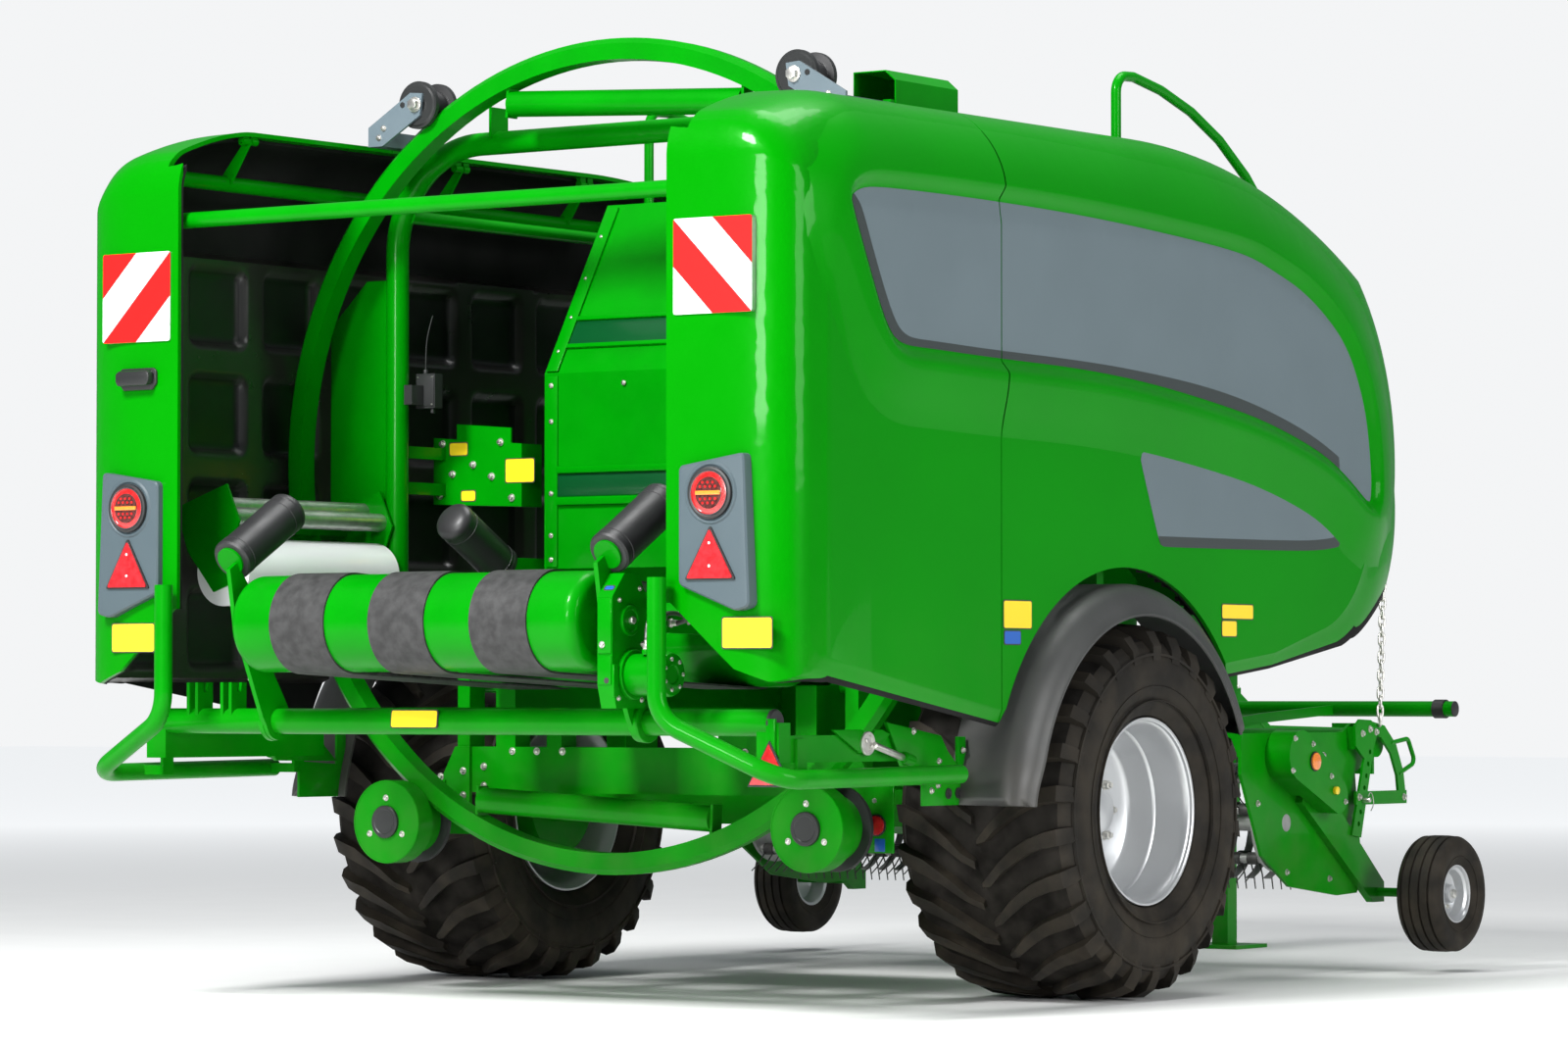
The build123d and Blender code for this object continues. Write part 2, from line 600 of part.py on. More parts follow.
# ---------------------------------------------------------------- wrapping ring
with BuildPart() as wrapping_ring:
    with BuildSketch(Plane(origin=(AXLE + RING_X, 0, RING_Z), x_dir=(1, 0, 0), z_dir=(0, -1, 0))):
        low, top = RING_R - RING_DEPTH, RING_R
        half, cut = RING_W / 2, 18.0
        with BuildLine():
            Polyline((-half, low), (half, low), (half, top - cut), (half - cut, top), (-half + cut, top),
                     (-half, top - cut), close=True)
        make_face()
    revolve(axis=Axis(origin=(AXLE, 0, RING_Z), direction=(1, 0, 0)))
    # clevis plates that carry the crossing rollers
    for angle in CHORD_ANGLES:
        with BuildSketch(turned_plane(RING_X - 26, angle)):
            for t in (CHORD_HALF + 0.5 + CLEVIS_T / 2, -CHORD_HALF - 0.5 - CLEVIS_T / 2):
                with Locations(((CHORD_AT - 46 + RING_R - RING_DEPTH - 60) / 2, t)):
                    Rectangle(RING_R - RING_DEPTH - 60 - CHORD_AT + 46, CLEVIS_T)
        extrude(amount=52)
save(wrapping_ring.part, "wrapping_ring")

# Crossing rollers inside the ring, top and bottom.
with BuildPart() as ring_rollers:
    for angle in CHORD_ANGLES:
        out = Vector(0, cos(radians(angle)), sin(radians(angle)))
        along = Vector(0, -sin(radians(angle)), cos(radians(angle)))
        start = place(RING_X, 0, RING_Z) + out * CHORD_AT - along * CHORD_HALF
        with BuildSketch(Plane(origin=start, z_dir=along)):
            Circle(CHORD_R)
        extrude(amount=2 * CHORD_HALF)
save(ring_rollers.part, "ring_rollers")

# ---------------------------------------------------------------- film dispensers
PLATE_OUTLINE = [(1090, -50), (1185, -50), (1245, 110), (1245, 260), (1020, 260), (1008, 130), (1085, 40)]
STRETCH = ((1052.0, 160.0), (1110.0, 218.0))
STRETCH_R = 30.0
TIE_R = (1196.0, 1240.0)
TIE_T = (165.0, 225.0)
BRACKET_X = RING_X - RING_W / 2


def dispenser_side(builder_angle):
    """The dispenser's own plane at its rear end."""
    return turned_plane(DISPENSER_REAR, builder_angle)


with BuildPart() as film_dispensers:
    for angle in (ROLL_ANGLE + RING_TURN, ROLL_ANGLE + RING_TURN + 180):
        for x in (DISPENSER_REAR, DISPENSER_FRONT - END_PLATE):
            with BuildSketch(turned_plane(x, angle)):
                with BuildLine():
                    Polyline(*PLATE_OUTLINE, close=True)
                make_face()
            extrude(amount=END_PLATE)
        # tie beam, spindle and stretch rollers between the end plates
        with BuildSketch(turned_plane(DISPENSER_REAR + END_PLATE, angle)):
            with Locations(((TIE_R[0] + TIE_R[1]) / 2, (TIE_T[0] + TIE_T[1]) / 2)):
                Rectangle(TIE_R[1] - TIE_R[0], TIE_T[1] - TIE_T[0])
            with Locations((ROLL_AT, 0)):
                Circle(SPINDLE_R)
        extrude(amount=DISPENSER_FRONT - DISPENSER_REAR - 2 * END_PLATE)
        # bracket that bolts the beam to the ring's rear face
        with BuildSketch(turned_plane(BRACKET_X - END_PLATE, angle)):
            with BuildLine():
                Polyline((TIE_R[0], 140), (1284, 140), (1270, 245), (TIE_R[0], 245), close=True)
            make_face()
        extrude(amount=END_PLATE)
save(film_dispensers.part, "film_dispensers")

with BuildPart() as stretch_rollers:
    for angle in (ROLL_ANGLE + RING_TURN, ROLL_ANGLE + RING_TURN + 180):
        with BuildSketch(turned_plane(DISPENSER_REAR + END_PLATE, angle)):
            for spot in STRETCH:
                with Locations(spot):
                    Circle(STRETCH_R)
        extrude(amount=DISPENSER_FRONT - DISPENSER_REAR - 2 * END_PLATE)
save(stretch_rollers.part, "stretch_rollers")

with BuildPart() as film_rolls:
    for angle in (ROLL_ANGLE + RING_TURN, ROLL_ANGLE + RING_TURN + 180):
        with BuildSketch(turned_plane(DISPENSER_REAR + END_PLATE + 2, angle)):
            with Locations((ROLL_AT, 0)):
                Circle(ROLL_R)
                Circle(SPINDLE_R + RUN, mode=Mode.SUBTRACT)
        extrude(amount=DISPENSER_FRONT - DISPENSER_REAR - 2 * END_PLATE - 4)
save(film_rolls.part, "film_rolls")

# ---------------------------------------------------------------- ring guide rollers
TREAD_R = hypot(GUIDE_Y, RING_Z - GUIDE_Z) - RING_R - TREAD_GAP
COVER_X = RING_X - 115.0
for name, s in SIDES:
    with BuildPart() as lower:
        with BuildSketch(side_plane(s * GUIDE_Y)):
            gap = RING_W / 2 + CLEAR
            bore = SPINDLE_R + RUN
            with BuildLine():
                Polyline(
                    (RING_X - gap - FLANGE_T, GUIDE_Z + bore), (RING_X + gap + FLANGE_T, GUIDE_Z + bore),
                    (RING_X + gap + FLANGE_T, GUIDE_Z + GUIDE_FLANGE_R), (RING_X + gap, GUIDE_Z + GUIDE_FLANGE_R),
                    (RING_X + gap, GUIDE_Z + TREAD_R), (RING_X - gap, GUIDE_Z + TREAD_R),
                    (RING_X - gap, GUIDE_Z + GUIDE_FLANGE_R), (COVER_X, GUIDE_Z + GUIDE_FLANGE_R),
                    (COVER_X, GUIDE_Z), (COVER_X + 10, GUIDE_Z), (COVER_X + 10, GUIDE_Z + GUIDE_FLANGE_R - 10),
                    (RING_X - gap - FLANGE_T, GUIDE_Z + GUIDE_FLANGE_R - 10), close=True)
            make_face()
        revolve(axis=Axis(origin=place(0, s * GUIDE_Y, GUIDE_Z), direction=(1, 0, 0)))
    save(lower.part, f"lower_ring_roller_{name}")

UPPER_TREAD = hypot(UPPER_Y, UPPER_Z - RING_Z) - RING_R - TREAD_GAP
UPPER_PIN = 12.0
for name, s in SIDES:
    with BuildPart() as upper:
        with BuildSketch(side_plane(s * UPPER_Y)):
            gap = RING_W / 2 + CLEAR
            bore = UPPER_PIN + RUN
            with BuildLine():
                Polyline(
                    (RING_X - gap - 14, UPPER_Z + bore), (RING_X + gap + 14, UPPER_Z + bore),
                    (RING_X + gap + 14, UPPER_Z + UPPER_FLANGE_R), (RING_X + gap, UPPER_Z + UPPER_FLANGE_R),
                    (RING_X + gap - 4, UPPER_Z + UPPER_TREAD), (RING_X - gap + 4, UPPER_Z + UPPER_TREAD),
                    (RING_X - gap, UPPER_Z + UPPER_FLANGE_R), (RING_X - gap - 14, UPPER_Z + UPPER_FLANGE_R),
                    close=True)
            make_face()
        revolve(axis=Axis(origin=place(0, s * UPPER_Y, UPPER_Z), direction=(1, 0, 0)))
    save(upper.part, f"upper_ring_roller_{name}")

# Grey arms that hold the upper rollers, reaching back over the ring from the arch.
ARM_REAR = RING_X - RING_W / 2 - CLEAR - 14 - CLEAR
with BuildPart() as roller_arms:
    for s in (1, -1):
        with BuildSketch(cross_plane(ARM_REAR - 10)):
            with BuildLine():
                Polyline((s * (UPPER_Y - 30), UPPER_Z + 36), (s * (UPPER_Y + 20), UPPER_Z + 40),
                         (s * ARM_OUT, 2835), (s * ARM_OUT, ARM_LOW), (s * ARM_IN, ARM_LOW),
                         (s * (UPPER_Y - 20), UPPER_Z - 36), close=True)
            make_face()
        extrude(amount=10)
        add(long_rod(s * UPPER_Y, UPPER_Z, ARM_REAR - 18, RING_X + 62, UPPER_PIN))
        y0, y1 = sorted((s * ARM_IN, s * ARM_OUT))
        add(slab(ARM_REAR - 10, ARCH_X + 30, y0, y1, ARM_LOW, ARM_LOW + 50))
save(roller_arms.part, "roller_arms")

# ---------------------------------------------------------------- wrapping table
COLLAR_R = 60.0
# Four leaning side rollers with their pins: (start, end) from the axle.
SIDE_ROLLER_R = 66.0
SIDE_ROLLERS = (((-1915.0, 1392.0), (-1655.0, 1545.0)), ((-560.0, 1400.0), (-805.0, 1540.0)))
SIDE_ROLLER_Y = 733.0
with BuildPart() as table_frame:
    for s in (1, -1):
        y0, y1 = sorted((s * (TABLE_PLATE_Y - TABLE_PLATE_T / 2), s * (TABLE_PLATE_Y + TABLE_PLATE_T / 2)))
        add(side_plate([(PIVOT_X - 55, PIVOT_Z - 20), (PIVOT_X + 30, PIVOT_Z - 52), (PIVOT_X + 60, PIVOT_Z + 20),
                        (-1790, 1100), (-1790, 1160), (FRONT_DRUM_X + 60, 1140), (-600, 1240), (-520, 1330),
                        (-540, 1352), (-640, 1290), (FRONT_DRUM_X + 20, 1190), (-1790, 1225),
                        (-1882, 1325), (-1925, 1382), (-1960, 1360), (-1930, 1190), (-1800, 900)], y0, y1))
        for low, high in SIDE_ROLLERS:
            run = Vector(high[0] - low[0], high[1] - low[1]).normalized()
            foot = (low[0] - 16 * run.X, low[1] - 16 * run.Y)
            seat = (low[0] - 0.6 * run.X, low[1] - 0.6 * run.Y)
            add(strut((foot[0], s * SIDE_ROLLER_Y, foot[1]), (seat[0], s * SIDE_ROLLER_Y, seat[1]), 46))
        add(strut((-525, s * TABLE_PLATE_Y, 1335), (-545, s * SIDE_ROLLER_Y, 1385), 18))
        add(rod(PIVOT_X, PIVOT_Z, y0, y1, COLLAR_R))
        yb0, yb1 = sorted((s * (DRUM_HALF + CLEAR), s * (TABLE_PLATE_Y)))
        add(rod(DRUM_X, DRUM_Z, yb0, yb1, 34))
        yb0, yb1 = sorted((s * (FRONT_DRUM_HALF + CLEAR), s * (TABLE_PLATE_Y)))
        add(rod(FRONT_DRUM_X, FRONT_DRUM_Z, yb0, yb1, 34))
        yb0, yb1 = sorted((s * (DRUM_HALF - 2 * DRUM_WALL), s * (TABLE_PLATE_Y)))
        add(rod(DRUM_X, DRUM_Z, yb0, yb1, SPINDLE_R))
        yb0, yb1 = sorted((s * (FRONT_DRUM_HALF - 2 * DRUM_WALL), s * (TABLE_PLATE_Y)))
        add(rod(FRONT_DRUM_X, FRONT_DRUM_Z, yb0, yb1, SPINDLE_R))
    # stiffening tube between the side plates, behind the front drum
    add(rod(-1500, 1190, -TABLE_PLATE_Y, TABLE_PLATE_Y, 32))
    for y0, y1 in both(600, 800):
        add(rod(PIVOT_X, PIVOT_Z, y0, y1, REAR_TUBE_R + RUN), mode=Mode.SUBTRACT)
save(table_frame.part, "table_frame")

with BuildPart() as table_drive:
    y_case = -(TABLE_PLATE_Y + TABLE_PLATE_T / 2)
    add(side_plate([(-1960, 1000), (-1940, 930), (-1800, 930), (-1790, 1000), (-1790, 1260), (-1830, 1330),
                    (-1900, 1330), (-1960, 1260)], y_case - 55, y_case))
    add(rod(-1862, 1030, y_case - 195, y_case - 55, 62))
save(table_drive.part, "table_drive")

for label, x, z, radius, half in (("rear_drum", DRUM_X, DRUM_Z, DRUM_R, DRUM_HALF),
                                  ("front_drum", FRONT_DRUM_X, FRONT_DRUM_Z, FRONT_DRUM_R, FRONT_DRUM_HALF)):
    with BuildPart() as drum:
        with BuildSketch(Plane(origin=place(x, 0, z), x_dir=(0, 1, 0), z_dir=(1, 0, 0))):
            edge, bore, wall = half - DRUM_CORNER, SPINDLE_R + RUN, DRUM_WALL
            bend = DRUM_CORNER * (1 - sin(radians(45)))
            with BuildLine():
                Polyline((-edge, radius), (edge, radius))
                ThreePointArc((edge, radius), (half - bend, radius - bend), (half, radius - DRUM_CORNER))
                Polyline((half, radius - DRUM_CORNER), (half, bore), (half - wall, bore),
                         (half - wall, radius - DRUM_CORNER - wall), (edge - wall, radius - wall),
                         (-edge + wall, radius - wall), (-half + wall, radius - DRUM_CORNER - wall),
                         (-half + wall, bore), (-half, bore), (-half, radius - DRUM_CORNER))
                ThreePointArc((-half, radius - DRUM_CORNER), (-half + bend, radius - bend), (-edge, radius))
            make_face()
        revolve(axis=Axis(origin=place(x, 0, z), direction=(0, 1, 0)))
    save(drum.part, label)


def belt_outline(extra):
    """Outline of a belt round both drums, grown by an amount."""
    r0, r1 = DRUM_R + extra, FRONT_DRUM_R + extra
    run, rise = FRONT_DRUM_X - DRUM_X, FRONT_DRUM_Z - DRUM_Z
    span = hypot(run, rise)
    slope = degrees(atan2(rise, run))
    lean = degrees(atan2(r0 - r1, (span ** 2 - (r0 - r1) ** 2) ** 0.5))
    top, low = radians(90 + slope - lean), radians(-90 + slope + lean)

    def on(x, z, r, a):
        return (x + r * cos(a), z + r * sin(a))

    a0, a1 = on(DRUM_X, DRUM_Z, r0, top), on(FRONT_DRUM_X, FRONT_DRUM_Z, r1, top)
    b0, b1 = on(DRUM_X, DRUM_Z, r0, low), on(FRONT_DRUM_X, FRONT_DRUM_Z, r1, low)
    Line(a0, a1)
    ThreePointArc(a1, on(FRONT_DRUM_X, FRONT_DRUM_Z, r1, radians(slope)), b1)
    Line(b1, b0)
    ThreePointArc(b0, on(DRUM_X, DRUM_Z, r0, radians(180 + slope)), a0)


with BuildPart() as table_belts:
    for i in (-1, 0, 1):
        with BuildSketch(side_plane(i * BELT_PITCH + BELT_W / 2)):
            with BuildLine():
                belt_outline(RUN + BELT_T)
            make_face()
            with BuildLine():
                belt_outline(RUN)
            make_face(mode=Mode.SUBTRACT)
        extrude(amount=BELT_W)
save(table_belts.part, "table_belts")

with BuildPart() as side_rollers:
    for s in (1, -1):
        for low, high in SIDE_ROLLERS:
            add(strut((low[0], s * SIDE_ROLLER_Y, low[1]), (high[0], s * SIDE_ROLLER_Y, high[1]), SIDE_ROLLER_R))
save(side_rollers.part, "side_rollers")

# ---------------------------------------------------------------- side doors
# Lofted from side outlines: each row gives a width and how far the outline
# has drawn in there at the rear, the top, the front and the bottom.
DOOR_SECTIONS = (
    # width, rear, top, front, bottom
    (950.0, 0.0, 0.0, 0.0, 0.0),
    (1120.0, 1.0, 10.0, 50.0, 0.0),
    (1250.0, 14.0, 36.0, 140.0, 4.0),
    (1335.0, 50.0, 112.0, 270.0, 14.0),
    (1372.0, 105.0, 220.0, 390.0, 34.0),
    (1390.0, 200.0, 370.0, 540.0, 80.0),
)
NOSE_X, NOSE_Z = 2105.0, 1680.0
DOOR_FLOOR = 845.0
CORNER = 90.0


def door_outline(rear, top, front, bottom):
    """Side outline of a door: square back, long roof falling forward, round nose."""
    back, roof, nose = DOOR_REAR + rear, DOOR_TOP - top, NOSE_X - front
    chin, floor = 1110 + bottom, DOOR_FLOOR + bottom
    brow = (1815 - 0.8 * front, 2447 - 0.75 * top)
    Line((back, 1000 + bottom), (back, roof - 15 - CORNER))
    ThreePointArc((back, roof - 15 - CORNER), (back + 0.3 * CORNER, roof - 15 - 0.3 * CORNER),
                  (back + CORNER, roof - 15))
    Line((back + CORNER, roof - 15), (300, roof))
    ThreePointArc((300, roof), (1130 - 0.45 * front, 2700 - 0.93 * top), brow)
    ThreePointArc(brow, (2055 - 0.97 * front, 2090 - 0.4 * top), (nose, NOSE_Z))
    ThreePointArc((nose, NOSE_Z), (nose - 75, 1330 + 0.5 * bottom), (nose - 345, chin))
    Polyline((nose - 345, chin), (900, 1030 + bottom), (SEAM_X, floor), (back, 1000 + bottom))


def door_form(inset, open_below):
    """The door's outer form, or the same form drawn in all round by an inset."""
    with BuildPart() as form:
        for width, rear, top, front, bottom in DOOR_SECTIONS:
            y = width - inset if width > DOOR_INNER else DOOR_INNER - (1 if inset else 0)
            with BuildSketch(Plane(origin=(AXLE, y, 0), x_dir=(1, 0, 0), z_dir=(0, -1, 0))):
                with BuildLine():
                    door_outline(rear + inset, top + inset, front + inset, bottom - open_below)
                make_face()
        loft()
    return form.part


outer_form = door_form(0, 0)
inner_form = door_form(DOOR_T, 300)
liner_form = door_form(DOOR_T + LINER_T, 400)

with BuildPart() as liner_block:
    add(door_form(DOOR_T + 0.5, 200))
    add(outer_form, mode=Mode.INTERSECT)

PANEL_CUT = [(900, 1240), (965, 1240), (1190, 1045), (1420, 965), (1420, 800), (900, 800)]
ROOF_EDGE = 1012.0


def door_shell(outer, inner, edge, panel):
    """A door skin, with its wheel arch and the cut corner of its rear panel."""
    with BuildPart() as shell:
        add(outer)
        add(inner, mode=Mode.SUBTRACT)
        add(rod(GUARD_X, GUARD_Z, DOOR_INNER - 10, 1500, ARCH_CUT_R), mode=Mode.SUBTRACT)
        add(cross_plate(PANEL_CUT, DOOR_REAR - 10, DOOR_REAR + 130), mode=Mode.SUBTRACT)
        add(slab(DOOR_REAR + panel, 2300, DOOR_INNER - 10, edge, 700, 2900), mode=Mode.SUBTRACT)
    return shell.part


with BuildPart() as hinge_webs:
    for x in HINGES_X:
        for x0 in (x - HINGE_PLATE / 2 - 1 - KNUCKLE_L, x + HINGE_PLATE / 2 + 1):
            add(slab(x0, x0 + KNUCKLE_L, DOOR_PIN_Y - 8, DOOR_PIN_Y + 8, DOOR_PIN_Z, 2830))
    add(outer_form, mode=Mode.INTERSECT)
    for x in HINGES_X:
        for x0 in (x - HINGE_PLATE / 2 - 1 - KNUCKLE_L, x + HINGE_PLATE / 2 + 1):
            add(long_rod(DOOR_PIN_Y, DOOR_PIN_Z, x0, x0 + KNUCKLE_L, KNUCKLE_R))

with BuildPart() as door_body:
    add(door_shell(outer_form, inner_form, ROOF_EDGE, 22))
    add(hinge_webs.part)
    for x in HINGES_X:
        add(long_rod(DOOR_PIN_Y, DOOR_PIN_Z, x - 50, x + 50, DOOR_PIN_R + RUN), mode=Mode.SUBTRACT)
door_skin = door_body.part
door_liner = door_shell(liner_block.part, liner_form, ROOF_EDGE + 48, 40)

with BuildPart() as door_back:
    add(door_skin)
    add(slab(SEAM_X - SEAM_GAP / 2, 2400, 900, 1500, 700, 2900), mode=Mode.SUBTRACT)
with BuildPart() as door_nose:
    add(door_skin)
    add(slab(-2200, SEAM_X + SEAM_GAP / 2, 900, 1500, 700, 2900), mode=Mode.SUBTRACT)

for name, s in SIDES:
    for piece, label in ((door_back.part, "side_door_rear"), (door_nose.part, "side_door_front"),
                         (door_liner, "door_liner")):
        placed = piece if s > 0 else mirror(piece, about=Plane.XZ)
        save(placed, f"{label}_{name}")

# ---------------------------------------------------------------- rear lamps and boards
BOARD = 282.0
BOARD_T = 4.0
LAMP_T = 26.0
for name, s in SIDES:
    with BuildPart() as lamps:
        with BuildSketch(cross_plane(DOOR_REAR - BOARD_T)):
            with Locations((s * 1120, 2225)):
                Rectangle(BOARD, BOARD)
        extrude(amount=BOARD_T + 60)
        with BuildSketch(cross_plane(DOOR_REAR - LAMP_T)):
            with BuildLine():
                Polyline((s * 1010, 1640), (s * 1245, 1640 + 35), (s * 1265, 1225), (s * 1215, 1212),
                         (s * 1010, 1290), close=True)
            make_face()
        extrude(amount=LAMP_T + 60)
        add(outer_form if s > 0 else mirror(outer_form, about=Plane.XZ), mode=Mode.SUBTRACT)
        add(slab(DOOR_REAR + 30, DOOR_REAR + 100, -1400, 1400, 1000, 2900), mode=Mode.SUBTRACT)
    save(lamps.part, f"rear_lamps_{name}")

# ---------------------------------------------------------------- mudguards
with BuildPart() as mudguards:
    for s in (1, -1):
        end = radians(GUARD_END)
        with BuildSketch(Plane(origin=place(GUARD_X, 0, GUARD_Z), x_dir=(0, 1, 0),
                               z_dir=(sin(end), 0, -cos(end)))):
            with BuildLine():
                Polyline((s * GUARD_IN, GUARD_R), (s * GUARD_CROWN, GUARD_R), (s * (GUARD_OUT - 37), GUARD_R - 20),
                         (s * (GUARD_OUT - GUARD_T), GUARD_LIP_R), (s * GUARD_OUT, GUARD_LIP_R),
                         (s * (GUARD_OUT - 32), GUARD_R - 12), (s * (GUARD_CROWN + 2), GUARD_R + GUARD_T),
                         (s * GUARD_IN, GUARD_R + GUARD_T), close=True)
            make_face()
        revolve(axis=Axis(origin=place(GUARD_X, 0, GUARD_Z), direction=(0, 1, 0)),
                revolution_arc=GUARD_END - GUARD_START)
save(mudguards.part, "mudguards")

# ---------------------------------------------------------------- crop intake and front cabinet
INTAKE_HALF = BEAM_Y - BEAM_W / 2
with BuildPart() as crop_intake:
    add(side_plate([(830, 560), (1150, 480), (1150, 940), (1060, 1040), (CHAMBER_X + CHAMBER_R, 1040),
                    (CHAMBER_X + CHAMBER_R, SEAT_Z), (830, SEAT_Z)], -INTAKE_HALF, INTAKE_HALF))
    for y0, y1 in both(INTAKE_HALF, INTAKE_HALF + 75):
        add(rod(LIFT_X, LIFT_Z, y0, y1, 26))
save(crop_intake.part, "crop_intake")

HOOP_Y = 965.0
HOOP_R = 17.0
HOOP = [(590, INNER_RAIL_Z + 22), (590, 3032), (700, 3038), (880, 3010), (1080, 2955), (1270, 2875),
        (1450, 2765), (1610, 2630), (1740, 2480), (1823, 2240)]
with BuildPart() as hand_rails:
    for s in (1, -1):
        add(bent_tube([(x, s * HOOP_Y, z) for x, z in HOOP], HOOP_R, 60))
save(hand_rails.part, "hand_rails")

CABINET_HALF = 900.0
CABINET = [(CABINET_REAR, 1260), (1750, 1260), (1960, 1450), (2010, 1800), (1930, 2160), (1720, 2430),
           (CABINET_REAR, 2600)]
with BuildPart() as front_cabinet:
    add(side_plate(CABINET, -CABINET_HALF, CABINET_HALF))
    wall = 10.0
    inner = [(x - wall if x > 1200 else x - 2 * wall, z + wall if z < 1500 else z - wall) for x, z in CABINET]
    add(side_plate(inner, -CABINET_HALF + wall, CABINET_HALF - wall), mode=Mode.SUBTRACT)
    # legs down to the front of the main frame
    for y0, y1 in both(BEAM_Y - BEAM_W / 2, BEAM_Y + BEAM_W / 2):
        add(slab(1500, 1580, y0, y1, BEAM_TOP, 1262))
    # side skirts under the door's nose
    for y0, y1 in both(CABINET_HALF - 6, CABINET_HALF):
        add(side_plate([(1010, 1000), (1010, 1270), (1750, 1270), (1620, 1110), (1500, 1050), (1500, 900), (1120, 900)],
                       y0, y1))
    # arms that hold the lift chains, and lugs round the rails
    for s in (1, -1):
        y0, y1 = sorted((s * (CABINET_HALF - 60), s * (CABINET_HALF - 20)))
        add(slab(1965, 2190, y0, y1, 1500, 1540))
        y0, y1 = sorted((s * (CABINET_HALF - 20), s * 1130))
        add(slab(2150, 2190, y0, y1, 1500, 1540))
        y0, y1 = sorted((s * CABINET_HALF, s * 1010))
        add(slab(1796, 1806, y0, y1, 2240, 2320))
    add(hand_rails.part, mode=Mode.SUBTRACT)
save(front_cabinet.part, "front_cabinet")


# ---------------------------------------------------------------- driveline
SHAFT_R = 17.45
SHAFT_COLLAR = 22.0
SHAFT_RUN = 0.05
SHAFT_Z = 1125.0
with BuildPart() as gearbox:
    add(slab(1640, BEAM_FRONT, -140, 140, BEAM_TOP, 1230))
    add(long_rod(0, SHAFT_Z, BEAM_FRONT, BEAM_FRONT + 40, 68, bore=SHAFT_COLLAR + SHAFT_RUN))
save(gearbox.part, "gearbox")
with BuildPart() as pto_shaft:
    add(long_rod(0, SHAFT_Z, BEAM_FRONT + 0.5, BEAM_FRONT + 42, SHAFT_COLLAR))
    add(long_rod(0, SHAFT_Z, BEAM_FRONT + 42, BEAM_FRONT + 150, SHAFT_R))
save(pto_shaft.part, "pto_shaft")

# ---------------------------------------------------------------- drawbar, hitch eye and jack
DRAWBAR_HALF = 75.0
with BuildPart() as drawbar:
    add(side_plate([(BEAM_FRONT, 870), (BEAM_FRONT, 995), (2250, 1105), (2720, 1105), (3180, 855), (3960, 840),
                    (3960, 700), (3140, 700), (2700, 965), (2320, 965)], -DRAWBAR_HALF, DRAWBAR_HALF))
    for s in (1, -1):
        with BuildSketch(plan_plane(890)):
            with BuildLine():
                Polyline((BEAM_FRONT, s * 540), (BEAM_FRONT, s * 620), (2440, s * 70), (2340, s * 70), close=True)
            make_face()
        extrude(amount=105)
    add(slab(3960, 3976, -90, 90, 660, 860))
    # clamp that carries the jack
    add(slab(JACK_X - 90, JACK_X + 90, DRAWBAR_HALF, JACK_Y - JACK_LEG / 2 - JACK_GAP - JACK_WALL, 720, 830))
save(drawbar.part, "drawbar")

with BuildPart() as hitch_eye:
    with BuildSketch(plan_plane(HITCH_Z - EYE_T / 2)):
        with Locations((HITCH_X, 0)):
            Circle(EYE_R)
        with Locations(((3976 + HITCH_X) / 2, 0)):
            Rectangle(HITCH_X - 3976, 66)
        with Locations((HITCH_X, 0)):
            Circle(EYE_BORE, mode=Mode.SUBTRACT)
    extrude(amount=EYE_T)
    add(slab(3976, 3992, -80, 80, 670, 850))
save(hitch_eye.part, "hitch_eye")

SLEEVE_HALF = JACK_LEG / 2 + JACK_GAP + JACK_WALL
with BuildPart() as jack_sleeve:
    with BuildSketch(plan_plane(560)):
        with Locations((JACK_X, JACK_Y)):
            Rectangle(2 * SLEEVE_HALF, 2 * SLEEVE_HALF)
            Rectangle(JACK_LEG + 2 * JACK_GAP, JACK_LEG + 2 * JACK_GAP, mode=Mode.SUBTRACT)
    extrude(amount=440)
save(jack_sleeve.part, "jack_sleeve")

with BuildPart() as jack_leg:
    with BuildSketch(plan_plane(0)):
        with Locations((JACK_X, JACK_Y)):
            Rectangle(240, 240)
    extrude(amount=14)
    with BuildSketch(plan_plane(14)):
        with Locations((JACK_X, JACK_Y)):
            Rectangle(JACK_LEG, JACK_LEG)
    extrude(amount=880)
save(jack_leg.part, "jack_leg")

